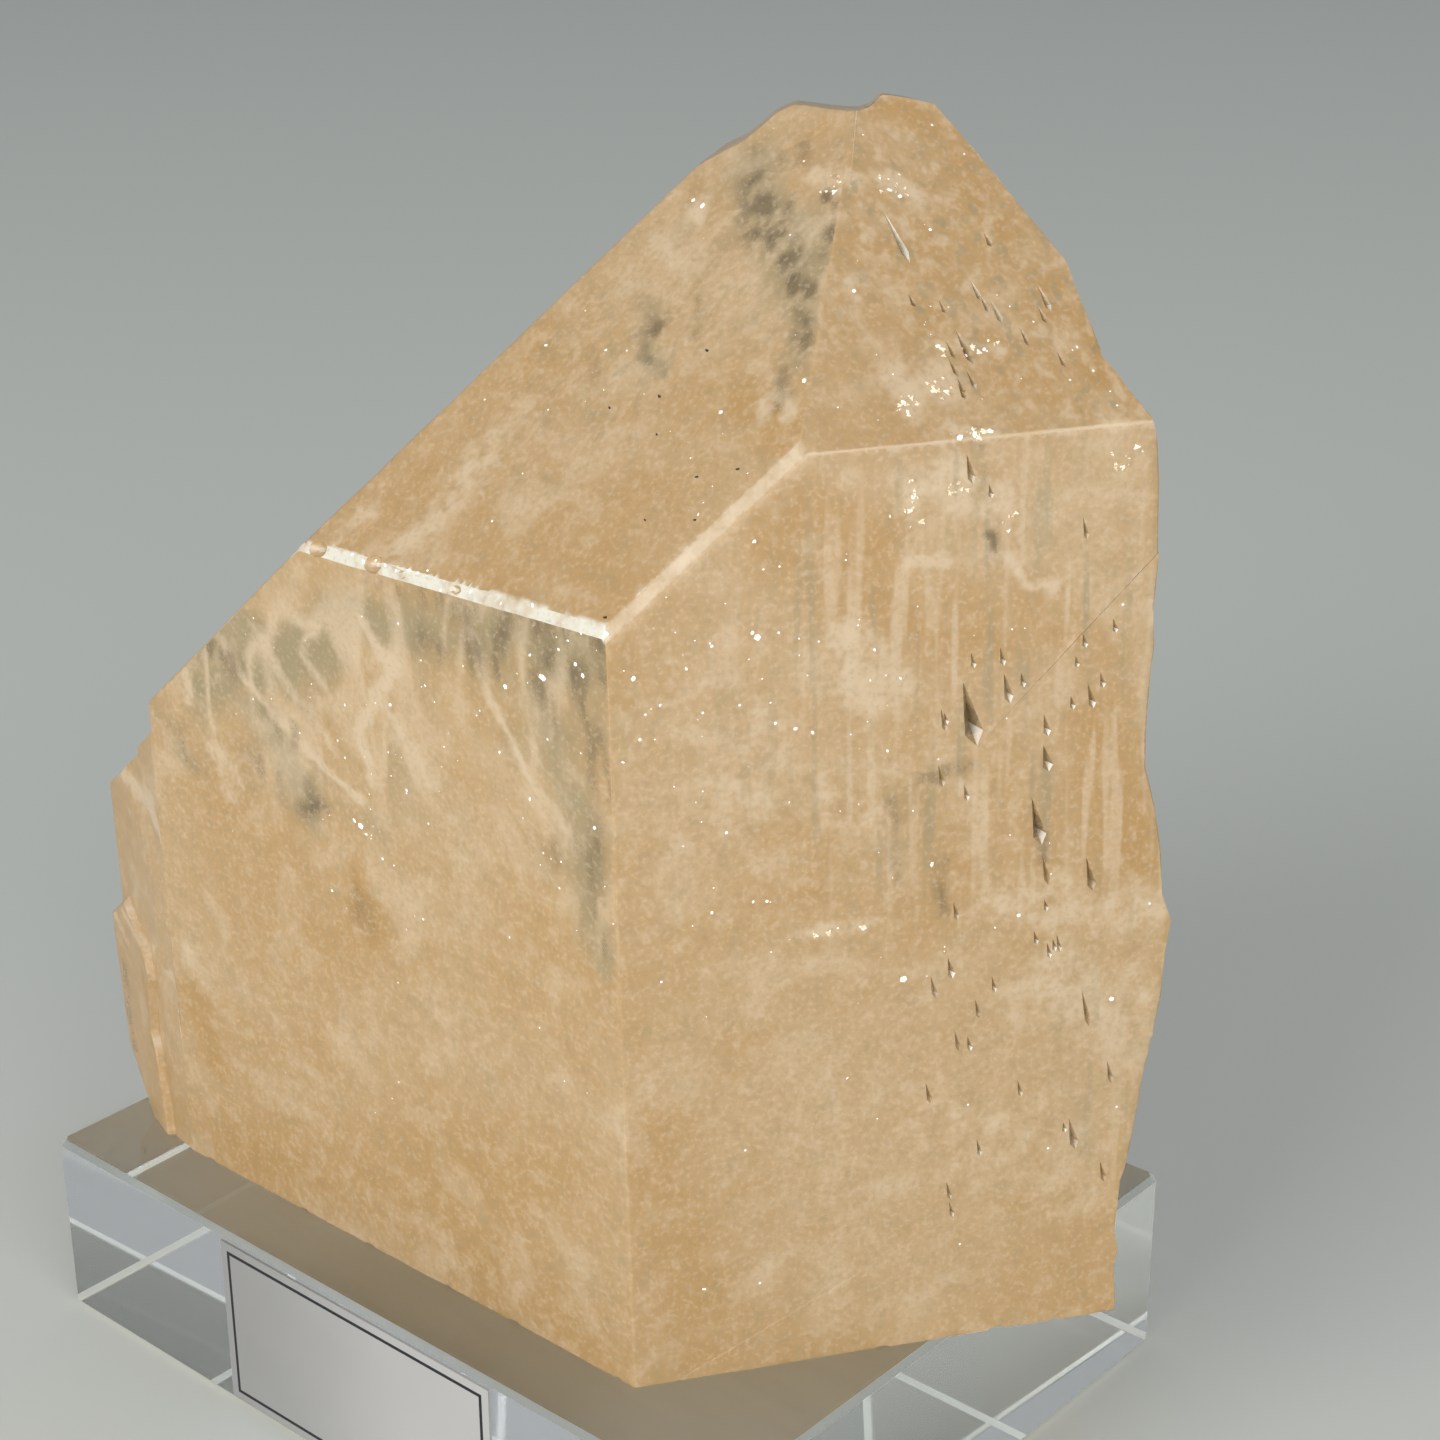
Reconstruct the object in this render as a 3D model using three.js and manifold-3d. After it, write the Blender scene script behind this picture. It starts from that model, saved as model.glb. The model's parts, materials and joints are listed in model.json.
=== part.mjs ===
// Topaz crystal on a clear acrylic display block, with a small label film.
// Millimetres, +Z up. The origin is the centre of the block's underside.
// X runs along the label face, and the label faces -Y.

import * as THREE from 'three';
import { mergeVertices } from 'three/addons/utils/BufferGeometryUtils.js';
import Module from 'manifold-3d';

const wasm = await Module();
wasm.setup();

// ---------------------------------------------------------------- driving sizes

const BLOCK = { length: 68, width: 51.6, height: 15, chamfer: 0.4 };
const LABEL = { width: 28, height: 13.8, thickness: 0.2, below_top: 0.6 };

// Topaz lattice constants (angstrom): they set every angle between faces.
const CELL = { a: 4.65, b: 8.8, c: 8.39 };

// How the crystal stands on the block, in degrees.
const A_AXIS_HEADING = -62.1;   // from +X; the a axis points at the front edge
const LEAN_TO_LEFT = 1.4;
const LEAN_TO_FRONT = -0.3;

// Faces by Miller indices, with their distance from the middle of the block's top.
const FRONT_LEFT = { hkl: [1, -1, 0], distance: 19.9 };
const FRONT_RIGHT = { hkl: [1, 1, 0], distance: 29.3 };
const PYRAMID_LEFT = { hkl: [1, -1, 2], distance: 51.5 };
const PYRAMID_RIGHT = { hkl: [1, 1, 2], distance: 65.3 };
const EDGE_BAND_LEFT = { hkl: [1, -1, 1], distance: 41.15 };
const EDGE_BAND_RIGHT = { hkl: [1, 0, 1], distance: 49.87 };
const LEFT_SIDE = { hkl: [1, -2, 0], distance: 26.75 };
const BACK = { hkl: [-1, 1, 0], distance: 11.4 };
const BACK_LEFT = { hkl: [-1, -1, 0], distance: 30.5 };
const BASE = { normal: [0, 0, -1], distance: 0 };

// The left end grew in steps: each column has its own dome cap and end face.
const DOME_INDICES = [0, -1, 1];
const END_INDICES = [0, -1, 0];
const COLUMNS = [
  { cap: 48.6, end: 30.8 },
  { cap: 46.9, end: 33.4 },
  { cap: 46.5, end: 38.25 },
  { cap: 39.2, end: 39.7 },
];

// Layers that stand proud on the left side. Their right rims are given as distance
// from the front left face (to the left is negative) and height, with the width that
// a rim slopes across.
const SIDE_LAYERS = [
  {
    column: COLUMNS[2],
    proud: 0.35,
    slope: 2.1,
    rim: [[-9.5, 35], [-7.5, 29], [-5.5, 26.5], [-3.6, 24.5], [-2.5, 22], [-2.3, 19.5],
      [-3.4, 16.5], [-3.6, 14.6], [-2.6, 12], [-2.3, -1]],
  },
  {
    column: COLUMNS[3],
    proud: 0.9,
    slope: 0.5,
    rim: [[-9.4, 18.6], [-7.6, 17.1], [-6.1, 16], [-4.8, 15], [-4.2, 13.4], [-4.5, 11],
      [-4.8, 8.3], [-4.1, 6.9], [-3.7, 4.2], [-2.9, -1]],
  },
];

// Wavy right edge, seen square to the front right face: distance from the front
// edge, and height.
const RIGHT_EDGE = [
  [34.4, -5], [34.5, 1.2], [34.2, 3.6], [34.5, 4.9], [34.2, 6.5], [34.4, 10.4],
  [34.9, 12], [35.5, 16.1], [35.8, 18.7], [36.3, 21.3], [36.8, 24.5], [36.9, 27.8],
  [37.2, 29.9], [36.5, 31.9], [36.3, 34.8], [35.7, 38.3], [34.9, 41.1], [34.8, 43.5],
  [34.9, 46.5], [35.1, 49.4], [34.9, 51.7], [35.1, 54.6], [34.9, 60.6], [34.7, 62.6],
  [34.2, 64.6], [33.1, 66.2], [32.2, 67.9], [32.0, 69.4], [31.6, 71.5], [31.2, 74],
];

// The broken top, seen along BREAK_HEADING (degrees from +X), where it falls away by
// BREAK_FALL (degrees): distance to the right of the middle, and height.
const BREAK_HEADING = 129;
const BREAK_FALL = 8;
const BREAK_EDGE = [
  [6.5, 100], [7.5, 75.3], [9.2, 76.3], [11.3, 77.4], [12.4, 78.3], [13.3, 79.1],
  [14.6, 79.7], [16.8, 79.5], [18.6, 79.4], [19.4, 79.7], [20.1, 80.4], [21.6, 80.2],
  [23.5, 79.8], [24.2, 79.0], [24.8, 78.4], [25.6, 77.5], [40, 77.2], [40, 100],
];

// Corners broken off low on the left end: planes by a point and their normal.
const LOW_LEFT_BREAKS = [
  { point: [-34.9, -18, 6.5], normal: [-0.884, -0.468, -0.07] },
  { point: [-33.7, -18.3, 3.5], normal: [-0.884, -0.468, -0.68] },
];

// Growth plates on the back, as outlines across the face and up from its right foot.
const BACK_PLATES = [
  {
    proud: 1.7,
    slope: 0.9,
    outline: [[7, -2], [7, 17], [9.5, 30], [16, 41], [27, 45], [39, 33], [49, 30],
      [58, 14], [58, -2]],
  },
  {
    proud: 3.1,
    slope: 1.3,
    outline: [[15, -2], [16.5, 16], [23, 27], [33, 24], [38, 13], [44, 9], [44, -2]],
  },
  {
    proud: 0.9,
    slope: 0.8,
    outline: [[17, 49], [19, 62], [24, 69], [29, 66], [34, 55], [27, 50]],
  },
];
const PLATE_ROOT = 2;           // how deep a plate is rooted below its face
const LAYER_REACH = 40;         // how far a side layer runs to the left before it is cut

// Reach of the cutting prisms, all well past the crystal.
const EDGE_PRISM = { top: 95, left: -120, back: -130, depth: 160 };
const BREAK_PRISM_DEPTH = 120;

// Drop-shaped etch pits: across and up to the middle, length and width. Those on the
// front right face start from the front foot, those on the pyramid from its low corner.
const PITS_FRONT_RIGHT = [
  [22.8, 46.0, 4.6, 1.2], [27.5, 38.1, 3.6, 0.9], [28.0, 42.5, 1.9, 0.7],
  [25.2, 47.6, 2.2, 0.6], [26.2, 48.1, 1.1, 0.4], [24.8, 49.8, 1.3, 0.4],
  [27.9, 44.8, 1.6, 0.5], [30.9, 46.4, 1.6, 0.5], [29.6, 46.2, 1.0, 0.4],
  [31.6, 47.5, 1.1, 0.4], [30.3, 50.3, 1.0, 0.4], [32.3, 51.1, 1.0, 0.4],
  [31.3, 33.9, 2.6, 0.6], [28.2, 34.6, 2.3, 0.4], [21.8, 28.4, 1.6, 0.5],
  [31.4, 24.0, 2.9, 0.4], [33.3, 19.0, 1.8, 0.4], [30.8, 14.6, 2.5, 0.6],
  [33.1, 11.3, 1.7, 0.4], [22.4, 62.2, 2.0, 0.5], [20.9, 42.1, 1.6, 0.4],
];
const PITS_PYRAMID_RIGHT = [
  [9.4, 14.4, 3.9, 0.5], [12.0, 6.4, 2.7, 0.6], [17.9, 9.5, 2.2, 0.4],
  [14.6, 8.7, 1.8, 0.4], [15.2, 14.0, 1.2, 0.4],
];
const PIT_DEPTH = 0.7;          // as a share of the width
const PIT_LEAST_DEPTH = 0.25;
const PIT_LEAN = 13;            // degrees: the wide end points down and to the right

// A pit's points along its length, as shares of it, from the middle upwards.
const PIT_TIP = 0.55;
const PIT_WIDEST = -0.25;
const PIT_HEEL = -0.45;
const PIT_DEEPEST = -0.15;

// Small pits strewn over a field of a face: how many, and the field's two corners.
const STREWN_FRONT_RIGHT = { seed: 11, count: 26, from: [20, 8], to: [33.4, 61] };
const STREWN_PYRAMID_RIGHT = { seed: 23, count: 12, from: [8.5, 3], to: [19, 12] };
const STREWN_LENGTH = [0.8, 1.8];
const STREWN_WIDTH = 0.35;

// Chips: the radius of the scoop, and the share of it that bites into the crystal.
const CHIP_BITE = 0.4;
const CHIP_STRETCH = [1.5, 1, 0.8];
const CHIP_TURNS = 3;           // radians that a chip may be turned by
const CHIP_SPACING = { least: 0.15, stray: 0.7 };   // shares of the space for one chip
const CHIPS = {
  base_left: { seed: 3, count: 6, radius: [0.4, 0.9] },
  base_right: { seed: 8, count: 4, radius: [0.4, 0.8] },
  band_left: { seed: 5, count: 4, radius: [0.6, 1.1] },
  dome_back: { seed: 14, count: 5, radius: [1.2, 2.4] },
};
const CHIPPED_BAND_SHARE = 0.55;   // of the left band, from its left end
const CHIP_ON_RIGHT_EDGE = { across: 22.8, radius: 1.5, turn: 0.9 };

// Small distances: points closer than this are one, and lie on the base.
const SAME_POINT = 1e-5;
const ON_BASE = 1e-3;

// Numbers of the repeatable random source.
const RANDOM = { factor: 1664525, step: 1013904223, range: 4294967296 };

// --------------------------------------------------------------- general helpers

const UP = new THREE.Vector3(0, 0, 1);
const FAR = 400;

/** The solid that a closed three.js geometry encloses. */
function solidOf(geometry) {
  const bare = geometry.clone();
  bare.deleteAttribute('normal');
  bare.deleteAttribute('uv');
  const merged = mergeVertices(bare, SAME_POINT);
  return new wasm.Manifold(new wasm.Mesh({
    numProp: 3,
    vertProperties: new Float32Array(merged.attributes.position.array),
    triVerts: new Uint32Array(merged.index.array),
  }));
}

/** The geometry of a solid, with points within a hair of z = 0 put onto it. */
function geometryOf(solid) {
  const mesh = solid.getMesh();
  const points = Float32Array.from(mesh.vertProperties);
  for (let i = 2; i < points.length; i += 3) {
    if (Math.abs(points[i]) < ON_BASE) points[i] = 0;
  }
  const geometry = new THREE.BufferGeometry();
  geometry.setAttribute('position', new THREE.BufferAttribute(points, 3));
  geometry.setIndex(new THREE.BufferAttribute(Uint32Array.from(mesh.triVerts), 1));
  geometry.computeVertexNormals();
  return geometry;
}

/** All solids of a list joined in one. */
function joined(solids) {
  return solids.reduce((all, solid) => all.add(solid));
}

/** Repeatable random numbers from 0 to 1. */
function randomSource(seed) {
  let state = seed;
  return () => {
    state = (state * RANDOM.factor + RANDOM.step) % RANDOM.range;
    return state / RANDOM.range;
  };
}

/** A three.js shape through a list of [across, up] points. */
function shapeOf(points) {
  return new THREE.Shape(points.map(([across, up]) => new THREE.Vector2(across, up)));
}

// --------------------------------------------------------- planes of the crystal

const STANCE = new THREE.Matrix4()
  .makeRotationY(THREE.MathUtils.degToRad(-LEAN_TO_LEFT))
  .multiply(new THREE.Matrix4().makeRotationX(THREE.MathUtils.degToRad(LEAN_TO_FRONT)))
  .multiply(new THREE.Matrix4().makeRotationZ(THREE.MathUtils.degToRad(A_AXIS_HEADING)));

/** Outward normal of a face, given by its Miller indices or as a plain vector. */
function normalOf(face) {
  if (face.normal) return new THREE.Vector3(...face.normal).normalize();
  const [h, k, l] = face.hkl;
  return new THREE.Vector3(h / CELL.a, k / CELL.b, l / CELL.c).normalize()
    .transformDirection(STANCE);
}

/** Everything beyond a face's plane, as one very large box. */
function beyond(face) {
  const box = new THREE.BoxGeometry(FAR, FAR, FAR);
  box.translate(0, 0, FAR / 2 + face.distance);
  box.applyQuaternion(new THREE.Quaternion().setFromUnitVectors(UP, normalOf(face)));
  return solidOf(box);
}

/** The point where three faces meet. */
function corner(...faces) {
  const rows = faces.flatMap((face) => normalOf(face).toArray());
  const distances = new THREE.Vector3(...faces.map((face) => face.distance));
  return distances.applyMatrix3(new THREE.Matrix3().set(...rows).invert());
}

/** A frame on a face: X across to the right, Y up along the face, Z out of it. */
function frameOn(face, origin) {
  const out = normalOf(face);
  const across = new THREE.Vector3().crossVectors(UP, out).normalize();
  const up = new THREE.Vector3().crossVectors(out, across);
  return new THREE.Matrix4().makeBasis(across, up, out).setPosition(origin);
}

/** An upright frame: X level to the right, Y straight up, Z level towards the viewer. */
function uprightFrame(right, origin) {
  const viewer = new THREE.Vector3().crossVectors(right, UP);
  return new THREE.Matrix4().makeBasis(right, UP, viewer).setPosition(origin);
}

const FRONT_FOOT = corner(FRONT_LEFT, FRONT_RIGHT, BASE);
const LEFT_FOOT = corner(FRONT_LEFT, LEFT_SIDE, BASE);
const RIGHT_FOOT = corner(FRONT_RIGHT, BACK, BASE);
const FRONT_TOP = corner(FRONT_LEFT, FRONT_RIGHT, PYRAMID_LEFT);
const PYRAMID_CORNER = corner(FRONT_RIGHT, PYRAMID_LEFT, PYRAMID_RIGHT);

// ------------------------------------------------------------- body and its steps

/** The whole crystal form with one dome cap, one end face and one side face. */
function growthColumn({ cap, end }, proud = 0) {
  const faces = [
    FRONT_LEFT, FRONT_RIGHT, PYRAMID_LEFT, PYRAMID_RIGHT, EDGE_BAND_LEFT,
    EDGE_BAND_RIGHT, BACK, BACK_LEFT, BASE,
    { hkl: DOME_INDICES, distance: cap },
    { hkl: END_INDICES, distance: end },
    { hkl: LEFT_SIDE.hkl, distance: LEFT_SIDE.distance + proud },
  ];
  const blank = solidOf(new THREE.BoxGeometry(FAR / 2, FAR / 2, FAR / 2));
  return faces.reduce((rest, face) => rest.subtract(beyond(face)), blank);
}

/** A plate with a sloping rim that stands proud of a face and is rooted below it. */
function plateOn(frame, outline, { proud, slope }) {
  const plate = new THREE.ExtrudeGeometry(shapeOf(outline), {
    depth: PLATE_ROOT,
    bevelThickness: proud,
    bevelSize: slope,
    bevelSegments: 1,
  });
  plate.translate(0, 0, -PLATE_ROOT);
  plate.applyMatrix4(frame);
  return solidOf(plate);
}

/** A proud layer of the left side, up to its slanting right rim. */
function sideLayer({ column, rim, ...relief }) {
  const top = rim[0][1];
  const bottom = rim[rim.length - 1][1];
  const outline = [...rim, [-LAYER_REACH, bottom], [-LAYER_REACH, top]].reverse();
  const plate = plateOn(frameOn(LEFT_SIDE, LEFT_FOOT), outline, relief);
  return growthColumn(column, relief.proud).intersect(plate);
}

/** Growth plates on the back. */
function backPlates() {
  const frame = frameOn(BACK, RIGHT_FOOT);
  return joined(BACK_PLATES.map(
    ({ outline, ...relief }) => plateOn(frame, [...outline].reverse(), relief)));
}

/** The stretch that the wavy right edge leaves, square to the front right face. */
function rightEdgePrism() {
  const { top, left, back, depth } = EDGE_PRISM;
  const outline = [[left, RIGHT_EDGE[0][1]], ...RIGHT_EDGE,
    [RIGHT_EDGE[RIGHT_EDGE.length - 1][0], top], [left, top]];
  const prism = new THREE.ExtrudeGeometry(shapeOf(outline), {
    depth, bevelEnabled: false });
  prism.translate(0, 0, back);
  const right = new THREE.Vector3().crossVectors(UP, normalOf(FRONT_RIGHT)).normalize();
  prism.applyMatrix4(uprightFrame(right, FRONT_FOOT));
  return solidOf(prism);
}

/** What the broken top has lost. */
function topBreak() {
  const prism = new THREE.ExtrudeGeometry(shapeOf(BREAK_EDGE), {
    depth: BREAK_PRISM_DEPTH, bevelEnabled: false });
  prism.translate(0, 0, -BREAK_PRISM_DEPTH / 2);
  prism.rotateX(THREE.MathUtils.degToRad(-BREAK_FALL));
  const heading = THREE.MathUtils.degToRad(BREAK_HEADING);
  const right = new THREE.Vector3(Math.sin(heading), -Math.cos(heading), 0);
  prism.applyMatrix4(uprightFrame(right, new THREE.Vector3()));
  return solidOf(prism);
}

/** What the corners broken off low on the left end have lost. */
function lowLeftBreaks() {
  return joined(LOW_LEFT_BREAKS.map(({ point, normal }) => {
    const distance = normalOf({ normal }).dot(new THREE.Vector3(...point));
    return beyond({ normal, distance });
  }));
}

// -------------------------------------------------------------------- etch pits

/** Cutter of one drop-shaped pit: a pointed top, a wide lower end, a slanting floor. */
function pitCutter(frame, [across, up, length, width]) {
  const depth = Math.max(PIT_LEAST_DEPTH, PIT_DEPTH * width);
  const widest = PIT_WIDEST * length;
  const points = [
    [0, PIT_TIP * length, 0], [-width / 2, widest, 0], [0, PIT_HEEL * length, 0],
    [width / 2, widest, 0], [0, PIT_DEEPEST * length, -depth], [0, 0, depth],
  ];
  const triangles = [
    0, 1, 5, 1, 2, 5, 2, 3, 5, 3, 0, 5,
    1, 0, 4, 2, 1, 4, 3, 2, 4, 0, 3, 4,
  ];
  const pit = new THREE.BufferGeometry();
  pit.setAttribute('position', new THREE.Float32BufferAttribute(points.flat(), 3));
  pit.setIndex(triangles);
  pit.rotateZ(THREE.MathUtils.degToRad(PIT_LEAN));
  pit.translate(across, up, 0);
  pit.applyMatrix4(frame);
  return solidOf(pit);
}

/** Small pits at repeatable random places over a field. */
function strewnPits({ seed, count, from, to }) {
  const random = randomSource(seed);
  const between = (low, high) => low + (high - low) * random();
  return Array.from({ length: count }, () => [
    between(from[0], to[0]), between(from[1], to[1]), between(...STREWN_LENGTH),
    STREWN_WIDTH,
  ]);
}

/** All pits of the front right face and of the pyramid face above it. */
function pits() {
  const low = frameOn(FRONT_RIGHT, FRONT_FOOT);
  const high = frameOn(PYRAMID_RIGHT, PYRAMID_CORNER);
  return joined([
    ...[...PITS_FRONT_RIGHT, ...strewnPits(STREWN_FRONT_RIGHT)]
      .map((pit) => pitCutter(low, pit)),
    ...[...PITS_PYRAMID_RIGHT, ...strewnPits(STREWN_PYRAMID_RIGHT)]
      .map((pit) => pitCutter(high, pit)),
  ]);
}

// ------------------------------------------------------------------------ chips

/** Cutter of one shell-like chip, centred off the edge so that only part bites in. */
function chipCutter(point, outward, radius, turn) {
  const scoop = new THREE.IcosahedronGeometry(radius, 1);
  scoop.scale(...CHIP_STRETCH);
  scoop.rotateZ(turn);
  const centre = point.clone().addScaledVector(outward, radius * (1 - CHIP_BITE));
  scoop.translate(centre.x, centre.y, centre.z);
  return solidOf(scoop);
}

/** Chips at repeatable random places along an edge. */
function chipsAlong(start, end, outward, { seed, count, radius }) {
  const random = randomSource(seed);
  return Array.from({ length: count }, (_, i) => {
    const place = (i + CHIP_SPACING.least + CHIP_SPACING.stray * random()) / count;
    const size = radius[0] + (radius[1] - radius[0]) * random();
    const turn = CHIP_TURNS * random();
    return chipCutter(start.clone().lerp(end, place), outward, size, turn);
  });
}

/** Direction midway between the normals of two faces. */
function midway(first, second) {
  return normalOf(first).add(normalOf(second)).normalize();
}

/** All chips: along the base, on the band, behind the dome and on the right edge. */
function chips() {
  const dome = { hkl: DOME_INDICES, distance: COLUMNS[0].cap };
  const end = { hkl: END_INDICES, distance: COLUMNS[0].end };
  const bandLeft = corner(FRONT_LEFT, PYRAMID_LEFT, dome);
  const right = frameOn(FRONT_RIGHT, FRONT_FOOT);
  const onEdge = new THREE.Vector3(CHIP_ON_RIGHT_EDGE.across, 0, 0).applyMatrix4(right);
  onEdge.z = PYRAMID_CORNER.z;
  return joined([
    ...chipsAlong(LEFT_FOOT, FRONT_FOOT, midway(FRONT_LEFT, BASE), CHIPS.base_left),
    ...chipsAlong(FRONT_FOOT, RIGHT_FOOT, midway(FRONT_RIGHT, BASE), CHIPS.base_right),
    ...chipsAlong(bandLeft, bandLeft.clone().lerp(FRONT_TOP, CHIPPED_BAND_SHARE),
      midway(FRONT_LEFT, PYRAMID_LEFT), CHIPS.band_left),
    ...chipsAlong(corner(dome, BACK, end), corner(dome, BACK, PYRAMID_LEFT),
      midway(dome, BACK), CHIPS.dome_back),
    chipCutter(onEdge, midway(FRONT_RIGHT, PYRAMID_RIGHT),
      CHIP_ON_RIGHT_EDGE.radius, CHIP_ON_RIGHT_EDGE.turn),
  ]);
}

// ----------------------------------------------------------------- the crystal

/** Topaz crystal: the stepped prism, its layers, and what was etched and broken off. */
function crystalGeometry() {
  const grown = joined([
    ...COLUMNS.map((column) => growthColumn(column)),
    ...SIDE_LAYERS.map(sideLayer),
    backPlates(),
  ]);
  const lost = joined([topBreak(), lowLeftBreaks(), chips(), pits(), beyond(BASE)]);
  return geometryOf(grown.intersect(rightEdgePrism()).subtract(lost));
}

/** The crystal, standing on its cleaved base on the block. */
function topazCrystal() {
  const material = new THREE.MeshStandardMaterial({
    color: 0xdcb98a, roughness: 0.35, metalness: 0 });
  const crystal = new THREE.Mesh(crystalGeometry(), material);
  crystal.name = 'topaz_crystal';
  crystal.position.z = BLOCK.height;
  return crystal;
}

// ------------------------------------------------------------ block and label

/** Clear acrylic block with small polished chamfers along all its edges. */
function displayBlock() {
  const { length, width, height, chamfer } = BLOCK;
  const x = length / 2 - chamfer;
  const y = width / 2 - chamfer;
  const plan = [
    [-x + chamfer, -y], [x - chamfer, -y], [x, -y + chamfer], [x, y - chamfer],
    [x - chamfer, y], [-x + chamfer, y], [-x, y - chamfer], [-x, -y + chamfer],
  ];
  const geometry = new THREE.ExtrudeGeometry(shapeOf(plan), {
    depth: height - 2 * chamfer,
    bevelThickness: chamfer,
    bevelSize: chamfer,
    bevelSegments: 1,
  });
  geometry.translate(0, 0, chamfer);
  const material = new THREE.MeshStandardMaterial({
    color: 0xe4e9e6, roughness: 0.05, metalness: 0 });
  const block = new THREE.Mesh(geometry, material);
  block.name = 'display_block';
  return block;
}

/** Thin label film on the block's front face, left bare. */
function blockLabel() {
  const { width, height, thickness, below_top } = LABEL;
  const film = new THREE.BoxGeometry(width, thickness, height);
  const material = new THREE.MeshStandardMaterial({
    color: 0xd9dedb, roughness: 0.3, metalness: 0 });
  const label = new THREE.Mesh(film, material);
  label.name = 'block_label';
  label.position.set(
    0, -(BLOCK.width + thickness) / 2, BLOCK.height - below_top - height / 2);
  return label;
}

const specimen = new THREE.Group();
specimen.add(topazCrystal(), displayBlock(), blockLabel());

export default specimen;
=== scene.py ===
import json
import math
import random

import bpy
import numpy as np
from bpy.props import FloatProperty, FloatVectorProperty, IntProperty, PointerProperty
from mathutils import Matrix, Vector, noise

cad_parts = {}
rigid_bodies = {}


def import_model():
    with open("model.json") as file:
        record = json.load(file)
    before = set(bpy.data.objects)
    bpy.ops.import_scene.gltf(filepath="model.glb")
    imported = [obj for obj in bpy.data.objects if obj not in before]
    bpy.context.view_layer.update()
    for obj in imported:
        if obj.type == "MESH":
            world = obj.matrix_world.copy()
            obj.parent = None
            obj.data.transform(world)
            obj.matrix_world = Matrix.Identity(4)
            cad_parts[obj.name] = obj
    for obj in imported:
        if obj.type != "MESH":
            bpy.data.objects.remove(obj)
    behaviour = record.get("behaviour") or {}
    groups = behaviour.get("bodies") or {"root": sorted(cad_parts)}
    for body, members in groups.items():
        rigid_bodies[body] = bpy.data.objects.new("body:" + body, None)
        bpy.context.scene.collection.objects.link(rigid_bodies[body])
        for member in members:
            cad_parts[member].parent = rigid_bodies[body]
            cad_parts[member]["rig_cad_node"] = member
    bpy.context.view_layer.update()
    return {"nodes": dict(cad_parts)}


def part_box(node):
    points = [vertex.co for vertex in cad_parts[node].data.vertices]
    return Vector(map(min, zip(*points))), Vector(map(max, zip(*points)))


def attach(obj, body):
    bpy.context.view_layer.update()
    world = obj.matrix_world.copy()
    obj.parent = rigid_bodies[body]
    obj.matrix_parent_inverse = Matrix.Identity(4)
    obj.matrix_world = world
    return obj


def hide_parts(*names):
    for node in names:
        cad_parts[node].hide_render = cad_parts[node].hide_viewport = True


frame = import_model()

bl_info = {
    "name": "Topaz Crystal on Display Block",
    "version": (1, 0, 0),
    "blender": (4, 5, 0),
    "location": "3D View > Sidebar > Topaz",
    "description": "Dresses a champagne topaz crystal and its clear display block",
    "category": "Object",
}

MM = 0.001
CAD_CRYSTAL = frame["nodes"]["topaz_crystal"]
BLOCK = frame["nodes"]["display_block"]
LABEL = frame["nodes"]["block_label"]
BLOCK_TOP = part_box("display_block")[1].z

# Growth faces: outward direction, and in millimetres the corner that marks on the face
# are measured from. A mark's first number goes across the face and its second up it.
FACES = {
    "front_left": ((0.001, -1.0, 0.005), (21.92, -19.88, 15.0)),
    "front_right": ((0.826, -0.563, 0.023), (21.92, -19.88, 15.0)),
    "upper_left": ((-0.017, -0.711, 0.703), (20.6, -19.6, 68.9)),
    "upper_right": ((0.573, -0.398, 0.716), (27.1, -9.6, 79.1)),
    "left_side": ((-0.32, -0.947, -0.003), (-24.61, -19.92, 15.0)),
    "bevel_left": ((-0.01, -0.896, 0.445), (20.6, -19.6, 68.9)),
    "bevel_right": ((0.397, -0.77, 0.499), (20.6, -19.6, 68.9)),
}

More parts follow.
